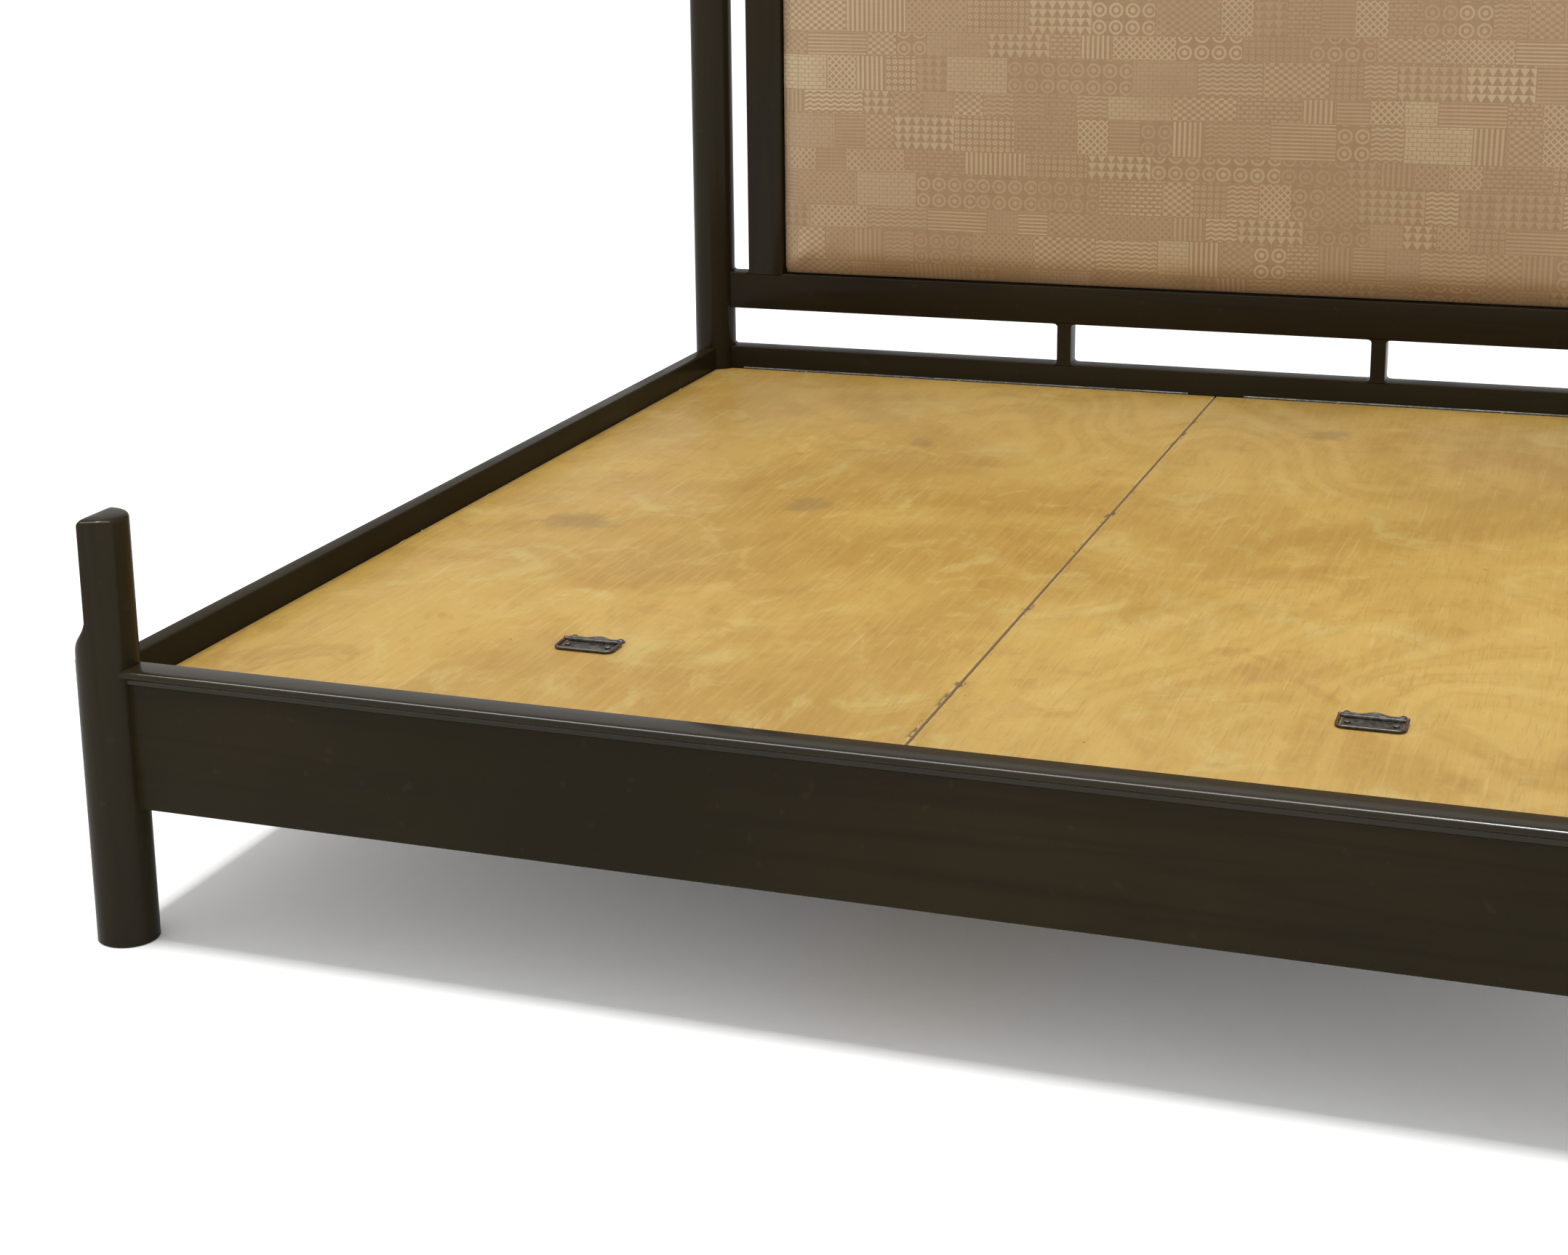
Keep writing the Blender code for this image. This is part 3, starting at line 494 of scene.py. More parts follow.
# %% Patchwork print group
def make_patchwork_group():
    tree, r, given, out = new_group(
        "patchwork_print",
        [("Vector", "Vector", None), ("Row Height", "Float", 0.045), ("Patch Width", "Float", 0.085)],
        [("Ink", "Float"), ("Tone", "Float")],
    )
    along, _, upward = r.split(given["Vector"])
    tall, wide = given["Row Height"], given["Patch Width"]

    def chance(a, b):
        """Two random numbers for a cell with the integer address (a, b)."""
        white = r.node("ShaderNodeTexWhiteNoise", {"Vector": r.join(a, b, 0.37)}, noise_dimensions="3D")
        return white.outputs["Value"], white.outputs["Color"]

    def part(a, size):
        """How far through its repeat a value is, from 0 to 1."""
        return r.math("FRACT", r.math("DIVIDE", a, size))

    def near(a, middle, half, soft=0.08):
        return r.step(r.math("ABSOLUTE", r.sub(a, middle)), half + soft, half - soft)

    pair = r.math("FLOOR", r.math("DIVIDE", upward, r.mul(tall, 2.0)))
    rise = r.math("FLOORED_MODULO", upward, r.mul(tall, 2.0))
    upper = r.math("GREATER_THAN", rise, r.mul(tall, 1.2))
    row = r.add(r.mul(pair, 2.0), upper)
    slid = r.add(along, r.mul(chance(row, 3.0)[0], wide))
    column = r.math("FLOOR", r.math("DIVIDE", slid, wide))
    lot, lots = chance(column, row)
    halved = r.math("GREATER_THAN", r.split(lots)[0], 0.55)
    width = r.mul(wide, r.sub(1.0, r.mul(halved, 0.5)))
    local = r.math("FLOORED_MODULO", slid, width)
    half = r.mul(halved, r.math("GREATER_THAN", part(slid, wide), 0.5))
    pick, more = chance(r.add(r.mul(column, 2.0), half), r.add(row, 40.5))
    x, y = local, r.sub(rise, r.mul(upper, r.mul(tall, 1.2)))

    def stripe(a, size, half, soft=0.08):
        return near(part(a, size), 0.5, half, soft)

    bars, lines = stripe(x, 0.0068, 0.24), stripe(y, 0.0050, 0.22)
    shifted = r.add(x, r.mul(r.math("FLOOR", r.math("DIVIDE", y, 0.0056)), 0.0055))
    dashes = r.mul(stripe(shifted, 0.0110, 0.36), stripe(y, 0.0056, 0.26))

    def ring(repeat, outer, inner):
        u, v = r.sub(part(x, repeat), 0.5), r.sub(part(y, repeat), 0.5)
        far = r.math("SQRT", r.add(r.mul(u, u), r.mul(v, v)))
        return r.mul(r.step(far, outer + 0.03, outer - 0.03), r.step(far, inner - 0.03, inner + 0.03)), far

    dots = ring(0.0090, 0.38, 0.12)[0]
    wheel, far = ring(0.0225, 0.43, 0.30)
    wheels = r.most(wheel, r.step(far, 0.18, 0.12))
    net = r.most(stripe(r.add(x, y), 0.0096, 0.16), stripe(r.sub(x, y), 0.0096, 0.16))
    tooth = r.mul(r.math("ABSOLUTE", r.sub(part(x, 0.0130), 0.5)), 2.0)
    teeth = r.step(r.sub(part(y, 0.0112), tooth), -0.05, 0.05)
    checks = r.math("ABSOLUTE", r.sub(stripe(x, 0.0120, 0.25, 0.03), stripe(y, 0.0090, 0.25, 0.03)))
    swell = r.mul(r.math("SINE", r.mul(x, 520.0)), 0.0010)
    waves = stripe(r.add(y, swell), 0.0062, 0.24)
    bricks = r.most(near(part(shifted, 0.0110), 0.0, 0.10, 0.05), near(part(y, 0.0056), 0.0, 0.14, 0.06))

    fillings = (bars, lines, dashes, dots, wheels, net, teeth, checks, waves, bricks)
    ink = 0.0
    for number, filling in enumerate(fillings):
        low, high = number / len(fillings), (number + 1) / len(fillings)
        chosen = r.mul(r.math("GREATER_THAN", pick, low), r.math("LESS_THAN", pick, high))
        ink = r.add(ink, r.mul(chosen, filling))
    turned = r.math("GREATER_THAN", r.split(more)[0], 0.70)
    ink = r.math("ABSOLUTE", r.sub(ink, turned))
    margin = r.mul(r.step(x, 0.0008, 0.0018), r.step(y, 0.0008, 0.0018))
    r.put(out["Ink"], r.mul(ink, margin))
    r.put(out["Tone"], r.split(more)[2])
    return tree


patchwork = make_patchwork_group()
print("patchwork group has", len(patchwork.nodes), "nodes")

# %% [markdown]
# Weave is a shared effect too: warp over weft, with slubs where a thread is thicker. It serves the headboard's cloth
# and, at a coarser thread, the dust cloth behind.

# %% Weave group
def make_weave_group():
    tree, r, given, out = new_group(
        "weave", [("Vector", "Vector", None), ("Thread", "Float", 0.0011)], [("Height", "Float"), ("Slub", "Float")]
    )
    along, _, upward = r.split(given["Vector"])
    turn = r.math("DIVIDE", math.pi, given["Thread"])
    over = r.math("SINE", r.mul(along, turn))
    under = r.math("SINE", r.mul(upward, turn))
    r.put(out["Height"], r.add(r.mul(r.mul(over, under), 0.5), 0.5))
    warp = r.noise(r.stretch(given["Vector"], (1.0, 1.0, 0.03)), 420.0, 2.0, 0.5)
    weft = r.noise(r.stretch(given["Vector"], (0.03, 1.0, 1.0)), 420.0, 2.0, 0.5)
    r.put(out["Slub"], r.mul(r.add(warp, weft), 0.5))
    return tree


weave = make_weave_group()


def make_cloth():
    material, r, shader = new_finish(
        "headboard_cloth", Roughness=0.92, Specular_IOR_Level=0.08, Sheen_Weight=0.05, Sheen_Roughness=0.5
    )
    place = r.place()
    x, y, z = r.split(place)
    drift = r.mul(r.sub(r.noise(place, 3.0, 2.0, 0.5), 0.5), 0.006)
    pulled = r.join(r.add(x, drift), y, r.add(z, drift))
    printed = r.group(patchwork, Vector=r.stretch(pulled, (0.74, 0.74, 0.74)), Row_Height=0.040, Patch_Width=0.086)
    threads = r.group(weave, Vector=pulled, Thread=0.0011)
    ground = r.blend(r.step(threads["Slub"], 0.38, 0.62), (0.372, 0.250, 0.146), (0.420, 0.288, 0.175))
    pale = r.blend(printed["Tone"], (0.490, 0.383, 0.245), (0.575, 0.462, 0.300))
    strength = r.step(printed["Tone"], 0.0, 1.0, 0.55, 0.92)
    faded = r.step(r.noise(place, 9.0, 3.0, 0.6), 0.25, 0.6, 0.65, 1.0)
    colour = r.blend(r.mul(r.mul(printed["Ink"], strength), faded), ground, pale)
    shade = r.noise(place, 2.6, 3.0, 0.55)
    colour = r.blend(r.step(shade, 0.35, 0.65, 0.20, 0.0), colour, (0.330, 0.215, 0.122))
    # painted shade: the cloth darkens towards its bottom edge
    shaded_low_edge = r.step(r.add(z, r.mul(r.sub(shade, 0.5), 0.05)), 0.570, 0.512, 0.0, 0.75)
    colour = r.blend(shaded_low_edge, colour, (0.190, 0.103, 0.040))
    r.put(shader["Base Color"], colour)
    r.put(shader["Normal"], r.bump(r.add(threads["Height"], r.mul(printed["Ink"], 0.25)), 0.00035, 0.55))
    return material


cloth = make_cloth()
print("cloth uses", [node.node_tree.name for node in cloth.node_tree.nodes if node.type == "GROUP"])

# %% [markdown]
# The handles are steel with an old bronze finish: grey-brown, rubbed lighter in places, with rust where the ends of
# the bail turn. The hinges and screws below are the same idea in dull dark steel.

# %% Metals
def make_metal(name, dark, light, rust=0.0, **sockets):
    material, r, shader = new_finish(name, **sockets)
    place = r.place()
    hands = r.group(handling, Vector=place, Smudge_Scale=60.0, Scratch_Scale=420.0)
    mottle = r.noise(place, 130.0, 4.0, 0.65)
    rubbed = tuple(min(1, c * 2.2) for c in light)
    colour = r.tints(r.blend(r.step(mottle, 0.36, 0.66), dark, light), (hands["Scratch"], 0.35, rubbed))
    if rust:
        across = r.math("ABSOLUTE", r.sub(r.math("ABSOLUTE", r.split(place)[0]), HANDLE_X))
        patch = r.step(r.noise(place, 210.0, 3.0, 0.6), 0.42, 0.62)
        colour = r.blend(r.mul(r.mul(r.step(across, 0.0355, 0.0405), patch), rust), colour, (0.090, 0.026, 0.010))
    r.put(shader["Base Color"], colour)
    r.put(shader["Roughness"], r.step(r.add(r.mul(mottle, 0.6), r.mul(hands["Smudge"], 0.4)), 0.25, 0.75, 0.34, 0.52))
    r.put(shader["Normal"], r.bump(r.sub(mottle, r.mul(hands["Scratch"], 0.5)), 0.00010, 0.6))
    return material


HANDLE_X = sum(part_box("handle_right_bail")[i][0] for i in (0, 1)) / 2
bronze = make_metal("bronze_finish", (0.042, 0.036, 0.030), (0.105, 0.094, 0.080), Metallic=0.55)
bail_bronze = make_metal("bronze_rubbed", (0.028, 0.021, 0.016), (0.062, 0.050, 0.040), rust=0.9, Metallic=0.5)
zinc = make_metal("dull_steel", (0.034, 0.032, 0.029), (0.085, 0.080, 0.072), Metallic=0.6)
print("metals:", bronze.name, bail_bronze.name, zinc.name)

# %% [markdown]
# The headboard's back is closed by a thin dark board with a black dust cloth stretched on it.

# %% Back board
def make_back_board():
    material, r, shader = new_finish("back_dust_cloth", Roughness=0.92, Specular_IOR_Level=0.15)
    place = r.place()
    threads = r.group(weave, Vector=place, Thread=0.0016)
    dust = r.step(r.noise(place, 4.0, 4.0, 0.65), 0.45, 0.75, 0.0, 0.35)
    colour = r.blend(r.step(threads["Slub"], 0.38, 0.62), (0.020, 0.019, 0.018), (0.034, 0.032, 0.030))
    r.put(shader["Base Color"], r.blend(dust, colour, (0.075, 0.070, 0.062)))
    r.put(shader["Normal"], r.bump(threads["Height"], 0.0004, 0.6))
    return material


back_board = make_back_board()
print("finishes ready:", len(bpy.data.materials))

# %% [markdown]
# A post is one turned stick. Above the rails its outer side is cut to a flat, joined to the full round below by an
# easy S. A disc is pushed up ring by ring, and no point of a ring may reach further outwards than the flat allows.
# The last rings shrink to make the domed end.

# %% Posts
def soft_reach(radius, flat, towards_flat, softness=8):
    """Distance from the axis to the surface: a circle cut by a soft-cornered flat."""
    if towards_flat < 0.02:
        return radius
    return (radius**-softness + (flat / towards_flat) ** -softness) ** (-1 / softness)


def make_post(name, node, flat, shoulder_low, shoulder_high):
    low, high = corners(node)
    radius = (high.y - low.y) / 2
    axis = Vector(((low.x + high.x) / 2, (low.y + high.y) / 2, 0))
    side = 1 if axis.x > 0 else -1
    whole = 2.2 * radius
    rings = [(height, whole) for height in (0.0012, 0.0035, 0.10, 0.24, shoulder_low - 0.004)]
    for step in range(15):
        share = step / 14
        swell = (1 + math.cos(math.pi * share)) / 2
        height = shoulder_low + (shoulder_high - shoulder_low) * share
        rings.append((height, flat + (radius * 1.04 - flat) * swell))
    crown = 0.0085
    rings += [((shoulder_high + high.z - crown) / 2, flat), (high.z - crown, flat)]

    bm = bmesh.new()
    face = add_disc(bm, radius - 0.0022, 128)
    bmesh.ops.translate(bm, vec=axis, verts=bm.verts)

    def lift(face, height):
        top = push_out(bm, [face])[0]
        for vert in top.verts:
            vert.co.z = height
        return top

    for height, cut in rings:
        face = lift(face, height)
        for vert in face.verts:
            away = Vector((vert.co.x - axis.x, vert.co.y - axis.y, 0)).normalized()
            spot = axis + away * soft_reach(radius, cut, away.x * side)
            vert.co.x, vert.co.y = spot.x, spot.y
    middle = Vector((axis.x - side * (radius - flat) / 2, axis.y, 0))
    dome = []
    for degrees in (18, 36, 54, 72, 90):
        before, angle = math.radians(degrees - 18), math.radians(degrees)
        shrink = 1 - crown * (math.cos(before) - math.cos(angle)) * 0.72 / (radius * 0.62)
        dome.append((high.z - crown + (crown - 0.0012) * math.sin(angle), shrink))
    for rise, shrink in ((0.0007, 0.80), (0.0004, 0.62), (0.0001, 0.30)):
        dome.append((dome[-1][0] + rise, shrink))
    for height, shrink in dome:
        face = lift(face, height)
        for vert in face.verts:
            vert.co.x = middle.x + (vert.co.x - middle.x) * shrink
            vert.co.y = middle.y + (vert.co.y - middle.y) * shrink
    return finish_piece(name, bm, lacquer["z"], [node], sharp=60)


RAIL_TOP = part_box("side_rail_left")[1][2]
HEADBOARD_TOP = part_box("headboard_top_rail")[1][2]
FLAT = 0.0055
for side in ("left", "right"):
    make_post(f"post_foot_{side}", f"foot_post_{side}", FLAT, RAIL_TOP + 0.010, RAIL_TOP + 0.064)
    post = make_post(f"post_head_{side}", f"head_post_{side}", FLAT, HEADBOARD_TOP + 0.004, HEADBOARD_TOP + 0.032)
print("a post has", len(post.data.polygons), "faces")

# %% [markdown]
# The rails are planed boards. The small round on their edges is what catches the light. Ends that meet a post run a
# little way into it, as a tenon does, so no gap shows against the round.

# %% Rails
def make_board(name, node, material, round_edges, grow=(0, 0, 0)):
    """A board with rounded edges in place of a CAD node, its box grown where it runs into a neighbour."""
    low, high = corners(node)
    bm = bmesh.new()
    bmesh.ops.create_cube(bm, size=1)
    bmesh.ops.scale(bm, vec=high - low + 2 * Vector(grow), verts=bm.verts)
    bmesh.ops.translate(bm, vec=(low + high) / 2, verts=bm.verts)
    bevel(bm, bm.edges[:], round_edges, 3)
    finish_piece(name, bm, material, [node])


TENON = 0.012
for side in ("left", "right"):
    make_board(f"rail_side_{side}", f"side_rail_{side}", lacquer["y"], 0.0028, (0, TENON, 0))
make_board("rail_foot", "foot_rail", lacquer["x"], 0.0012, (TENON, 0, 0))
print("three plain rails")

# %% [markdown]
# The foot rail's cap is a moulding: a flat top, a rounded nose that stands proud, a cove below it and a small lip
# against the rail. It is one section whose corners are rounded by a vertex bevel, drawn along a line.

# %% Moulded cap
def make_cap():
    low, high = corners("foot_rail_cap")
    face_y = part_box("foot_rail")[0][1]
    lip_y = face_y - 0.0030
    section = [  # (y, z, radius)
        (high.y, low.z, 0.0), (lip_y, low.z, 0.0012), (lip_y, low.z + 0.0062, 0.0016),
        (low.y + 0.0045, low.z + 0.0100, 0.0060), (low.y, low.z + 0.0118, 0.0022),
        (low.y, high.z - 0.0010, 0.0078), (low.y + 0.020, high.z, 0.0060), (high.y, high.z, 0.0018),
    ]
    bm = bmesh.new()
    verts = [bm.verts.new((low.x - TENON, y, z)) for y, z, _ in section]
    bm.faces.new(verts)
    for vert, (_, _, radius) in zip(verts, section):
        if radius:
            bevel(bm, [vert], radius, 6, "VERTICES", True)
    thicken(bm, (high.x - low.x + 2 * TENON, 0, 0))
    return finish_piece("moulded_foot_cap", bm, polished_lacquer, ["foot_rail_cap"], sharp=40)


cap = make_cap()
print("cap section has", len(cap.data.polygons) - 2, "sides")

# %% [markdown]
# The headboard is a frame of square members. Where one meets another the inside corner is eased by a small fillet.
# Each member is an outline whose ends widen into its neighbour. Bevelling the inner corners makes the fillets, and
# then it gets its thickness and its rounded edges.

# %% Headboard members
FILLET, FLANGE = 0.0060, 0.0050


def make_member(name, node, axis, sides, flange, grow):
    """A board seen from the front, with fillets at both ends of the given sides, each of them -1 or 1."""
    low, high = corners(node)
    along, across = (0, 2) if axis == "x" else (2, 0)
    start, stop = low[along] - grow, high[along] + grow
    path = []  # (along, across, is a fillet corner), one turn round the outline
    for side in (-1, 1):
        edge = low[across] if side < 0 else high[across]
        row = []
        for end in (-1, 1):
            tip = start if end < 0 else stop
            if side in sides:
                shoulder = tip - end * flange
                wing = edge + side * (FILLET + 0.002)
                bend = [(tip, wing, False), (shoulder, wing, False), (shoulder, edge, True)]
                row += bend if end < 0 else bend[::-1]
            else:
                row.append((tip, edge, False))
        path += row if side < 0 else row[::-1]
    bm = bmesh.new()
    verts = []
    for a, c, _ in path:
        spot = [0, low.y, 0]
        spot[along], spot[across] = a, c
        verts.append(bm.verts.new(spot))
    bm.faces.new(verts)
    inner = [vert for vert, (_, _, rounded) in zip(verts, path) if rounded]
    if inner:
        bevel(bm, inner, FILLET, 6, "VERTICES")
    thicken(bm, (0, high.y - low.y, 0))
    bmesh.ops.recalc_face_normals(bm, faces=bm.faces)
    bevel(bm, rims_of(bm, 1), 0.0026, 3, clamp=True)
    return finish_piece(name, bm, lacquer[axis], [node])


AT_POST = TENON + 0.0048
make_member("rail_head", "head_rail", "x", (1,), AT_POST, TENON)
make_member("rail_headboard_middle", "headboard_mid_rail", "x", (-1, 1), AT_POST, TENON)
make_member("rail_headboard_top", "headboard_top_rail", "x", (-1,), AT_POST, TENON)
for side, outer in (("left", -1), ("right", 1)):
    make_member(f"strut_{side}", f"headboard_strut_{side}", "z", (-1, 1), FLANGE, FLANGE)
    make_member(f"stile_{side}", f"headboard_stile_{side}", "z", (outer,), FLANGE, FLANGE)
print("seven headboard members")

# %% [markdown]
# The upholstered panel is a board with wadding and cloth pulled over it and stapled behind. A slab of fine quads is
# pinned at the back, and a little air pressure blows the rest out until the cloth stops it. How far a point may move
# is capped, so that the panel stays in its frame. Short soft puckers run in from the edges.

# %% Upholstered panel
PAD_CORNER, MOST_MOVE, FRAMES = 0.011, 0.0085, 16


def make_pad():
    low, high = corners("headboard_pad")
    middle = (low + high) / 2
    front, back = low.y + 0.0105, high.y - 0.0005
    wide, tall = high.x - low.x - 0.0010, high.z - low.z - 0.0010
    bm = bmesh.new()
    made = bmesh.ops.create_grid(bm, x_segments=132, y_segments=56, size=0.5)
    bmesh.ops.scale(bm, vec=(wide, tall, 1), verts=made["verts"])
    bmesh.ops.rotate(bm, cent=(0, 0, 0), matrix=Matrix.Rotation(math.radians(90), 3, "X"), verts=made["verts"])
    bmesh.ops.translate(bm, vec=(middle.x, back, middle.z), verts=made["verts"])
    top = bm.faces[:]
    for depth in (0.30, 0.62, 1.0):
        top = push_out(bm, top)
        for vert in {v for f in top for v in f.verts}:
            vert.co.y = back + (front - back) * depth

    def room_at(spot):
        """How far a point is from the nearest edge of the panel."""
        return min(wide / 2 - abs(spot.x - middle.x), tall / 2 - abs(spot.z - middle.z))

    for vert in {v for f in top for v in f.verts}:
        vert.co.y += 0.0070 * max(0.0, 1 - room_at(vert.co) / 0.016) ** 2
    for vert in bm.verts:
        dx, dz = vert.co.x - middle.x, vert.co.z - middle.z
        over_x, over_z = abs(dx) - (wide / 2 - PAD_CORNER), abs(dz) - (tall / 2 - PAD_CORNER)
        if over_x > 0 and over_z > 0:
            far = math.hypot(over_x, over_z)
            pull = max(over_x, over_z) / far if far else 1
            vert.co.x = middle.x + math.copysign(wide / 2 - PAD_CORNER + over_x * pull, dx)
            vert.co.z = middle.z + math.copysign(tall / 2 - PAD_CORNER + over_z * pull, dz)
    bmesh.ops.recalc_face_normals(bm, faces=bm.faces)
    mesh = bpy.data.meshes.new("upholstered_panel")
    bm.to_mesh(mesh)
    bm.free()
    pad = add_object("upholstered_panel", mesh)
    rest = [vert.co.copy() for vert in mesh.vertices]
    inflate(pad, [v.index for v in mesh.vertices if v.co.y > back - 0.0045])
    for vert, start in zip(mesh.vertices, rest):
        move = vert.co - start
        if move.length > MOST_MOVE:
            move.length = MOST_MOVE
        room = room_at(start)
        vert.co = start + move * min(1.0, 0.25 + room / 0.02)
        if vert.co.y < (front + back) / 2:
            reach = max(0.0, 1 - room / 0.055)
            pucker = noise.noise(Vector((start.x * 34, 0, start.z * 34))) * 0.0012 * reach**1.5
            slack = noise.noise(Vector((start.x * 5, 7, start.z * 5))) * 0.0009
            vert.co.y = max(vert.co.y + pucker + slack, low.y - 0.0010)
    mesh.materials.append(cloth)
    mesh.shade_smooth()
    smooth = pad.modifiers.new("smooth", "SUBSURF")
    smooth.levels = smooth.render_levels = 1
    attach(pad, BODY_OF["headboard_pad"])
    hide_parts("headboard_pad")
    return pad


def inflate(pad, pinned):
    """Blows the pad up against its own cloth and keeps the shape, with no Cloth left on it."""
    scene = bpy.context.scene
    group = pad.vertex_groups.new(name="stapled")
    group.add(pinned, 1.0, "REPLACE")
    cloth_sim = pad.modifiers.new("cloth", "CLOTH")
    settings = cloth_sim.settings
    settings.quality = 5
    settings.mass = 0.3
    settings.tension_stiffness = settings.compression_stiffness = 22
    settings.bending_stiffness = 2.0
    settings.use_pressure = True
    settings.uniform_pressure_force = 4.0
    settings.vertex_group_mass = "stapled"
    settings.effector_weights.gravity = 0
    cloth_sim.point_cache.frame_start, cloth_sim.point_cache.frame_end = 1, FRAMES
    for number in range(1, FRAMES + 1):
        scene.frame_set(number)
    graph = bpy.context.evaluated_depsgraph_get()
    solved = pad.evaluated_get(graph).to_mesh()
    blown = [vert.co.copy() for vert in solved.vertices]
    pad.evaluated_get(graph).to_mesh_clear()
    pad.modifiers.remove(cloth_sim)
    pad.vertex_groups.remove(group)
    scene.frame_set(1)
    for vert, spot in zip(pad.data.vertices, blown):
        vert.co = spot


pad = make_pad()
print("panel has", len(pad.data.polygons), "faces before smoothing")
make_board("backing_board", "headboard_backer", pine["x"], 0.001)
make_board("back_cover", "headboard_back_cover", back_board, 0.001)

# %% [markdown]
# The two deck panels fill the frame, with a corner cut away round each post. The ply layers on the sawn edges come
# from the finish, which reads the height.

# %% Deck panels
def arc(middle, radius, start, stop, steps):
    """Points on an arc, angles in degrees, both ends included."""
    turns = [math.radians(start + (stop - start) * i / steps) for i in range(steps + 1)]
    return [(middle[0] + radius * math.cos(t), middle[1] + radius * math.sin(t)) for t in turns]


def extrude_outline(points, low, high):
    """A bmesh solid from a closed outline of (x, y) points between two heights."""
    bm = bmesh.new()
    bm.faces.new([bm.verts.new((x, y, low)) for x, y in points])
    thicken(bm, (0, 0, high - low))
    bmesh.ops.recalc_face_normals(bm, faces=bm.faces)
    return bm


def make_lid(side):
    node = f"lid_{side}"
    low, high = corners(node)
    sign = 1 if side == "right" else -1
    outer, inner = (high.x, low.x) if sign > 0 else (low.x, high.x)
    notch = 0.044
    points = [(inner, low.y), (inner, high.y)]
    for end, y in (("head", high.y), ("foot", low.y)):
        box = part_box(f"{end}_post_{side}")
        post = ((box[0][0] + box[1][0]) / 2, (box[0][1] + box[1][1]) / 2)
        inward = -1 if end == "head" else 1
        across = math.sqrt(notch**2 - (y - post[1]) ** 2)
        down = math.sqrt(notch**2 - (outer - post[0]) ** 2)
        corner = [(post[0] - sign * across, y), (outer, post[1] + inward * down)]
        angles = [math.atan2(cy - post[1], cx - post[0]) for cx, cy in corner]
        turn = (angles[1] - angles[0] + math.pi) % (2 * math.pi) - math.pi
        curve = arc(post, notch, math.degrees(angles[0]), math.degrees(angles[0] + turn), 12)
        points += curve if end == "head" else curve[::-1]
    bm = extrude_outline(points, low.z, high.z)
    bevel(bm, rims_of(bm, 2), 0.0007, 2)
    return finish_piece(f"deck_{side}", bm, deck_plywood, [node], sharp=30)


for side in ("left", "right"):
    deck = make_lid(side)
    print(deck.name, "width", round(deck.dimensions.x, 4), "length", round(deck.dimensions.y, 4))

# %% [markdown]
# The folding handle is a stamped plate with a wavy back edge and two ears, a rolled barrel across it, and a bail of
# round wire. The plate is an outline made thick, with its top inset and sunk so that a rim is left.

# %% Handle plate
DECK_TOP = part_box("lid_left")[1][2]
HINGES = {joint["name"]: joint for joint in frame["record"]["behaviour"]["joints"]}
PLATE_HALF, PLATE_FRONT, BARREL_RADIUS = 0.0353, 0.0335, 0.0037
EARS = (0.0325, 0.0138)


def plate_outline():
    """Half of the plate from the front's middle to the back's middle, then its mirror image."""
    half = arc((PLATE_HALF - 0.0075, 0.0075 - PLATE_FRONT), 0.0075, -90, 0, 8)
    half += [(PLATE_HALF, 0.0047)]
    half += arc(EARS, 0.0062, -35, 120, 12)
    wave = [half[-1], (0.0195, 0.0175), (0.0, 0.0262)]
    for (x1, y1), (x2, y2) in zip(wave, wave[1:]):
        for i in range(1, 9):
            ease = (1 - math.cos(math.pi * i / 8)) / 2
            half.append((x1 + (x2 - x1) * i / 8, y1 + (y2 - y1) * ease))
    return half + [(-x, y) for x, y in reversed(half[:-1])]


def make_plate(side):
    node = f"handle_{side}_plate"
    x, y, z = HINGES[f"bail_{side}_hinge"]["pos_m"]
    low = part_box(node)[0][2]
    bm = extrude_outline([(x + a, y + b) for a, b in plate_outline()], low, low + 0.0018)
    bevel(bm, rims_of(bm, 2, 40), 0.0006, 3)
    top = max(bm.faces, key=lambda face: face.calc_center_median().z)
    bmesh.ops.inset_region(bm, faces=[top], thickness=0.0011, depth=0)
    bmesh.ops.inset_region(bm, faces=[top], thickness=0.0006, depth=-0.0005)

    section = [(0.0082, 0.0010), (0.0060, 0.0026)]  # (behind the barrel's axis, above the plate's foot)
    rise = z - low
    section += arc((0, rise), BARREL_RADIUS, 52, 122, 7) + arc((0, rise), BARREL_RADIUS - 0.0007, 124, 222, 7)
    section += [(-0.0012, 0.0008), (0.0070, 0.0006)]
    verts = [bm.verts.new((x - PLATE_HALF + 0.0006, y + a, low + b)) for a, b in section]
    face = bm.faces.new(verts)
    moved = verts_in(bmesh.ops.extrude_face_region(bm, geom=[face])["geom"])
    bmesh.ops.translate(bm, vec=(2 * PLATE_HALF - 0.0012, 0, 0), verts=moved)
    ends = [e for v in verts + moved for e in v.link_edges if abs(e.verts[0].co.x - e.verts[1].co.x) < 1e-7]
    bevel(bm, list(set(ends)), 0.0003, 2, clamp=True)
    return finish_piece(f"handle_plate_{side}", bm, bronze, [node], sharp=50)


for side in ("left", "right"):
    plate = make_plate(side)
print("plate", [round(v * 1000, 1) for v in plate.dimensions], "mm")

# %% [markdown]
# The bail is one bent wire: a ring carried along a path, turned at each step to face the way ahead. The two ends are
# squeezed flat and turned up, the stops that rest on the deck when the bail is lifted.

# %% Bail
def add_wire(bm, path, radii, segments=20):
    """A closed tube along a path. radii holds one (wide, tall) pair for each point of the path."""
    face = add_disc(bm, 1.0, segments)
    ring = [vert.co.copy() for vert in face.verts]
    up = Vector((0, 0, 1))
    for number, (spot, (wide, tall)) in enumerate(zip(path, radii)):
        before, after = path[max(number - 1, 0)], path[min(number + 1, len(path) - 1)]
        ahead = (after - before).normalized()
        side = ahead.cross(up).normalized() if ahead.cross(up).length > 1e-4 else Vector((1, 0, 0))
        tops = side.cross(ahead).normalized()
        if number:
            face = push_out(bm, [face])[0]
        for vert, unit in zip(face.verts, ring):
            vert.co = spot + side * unit.x * wide + tops * unit.y * tall


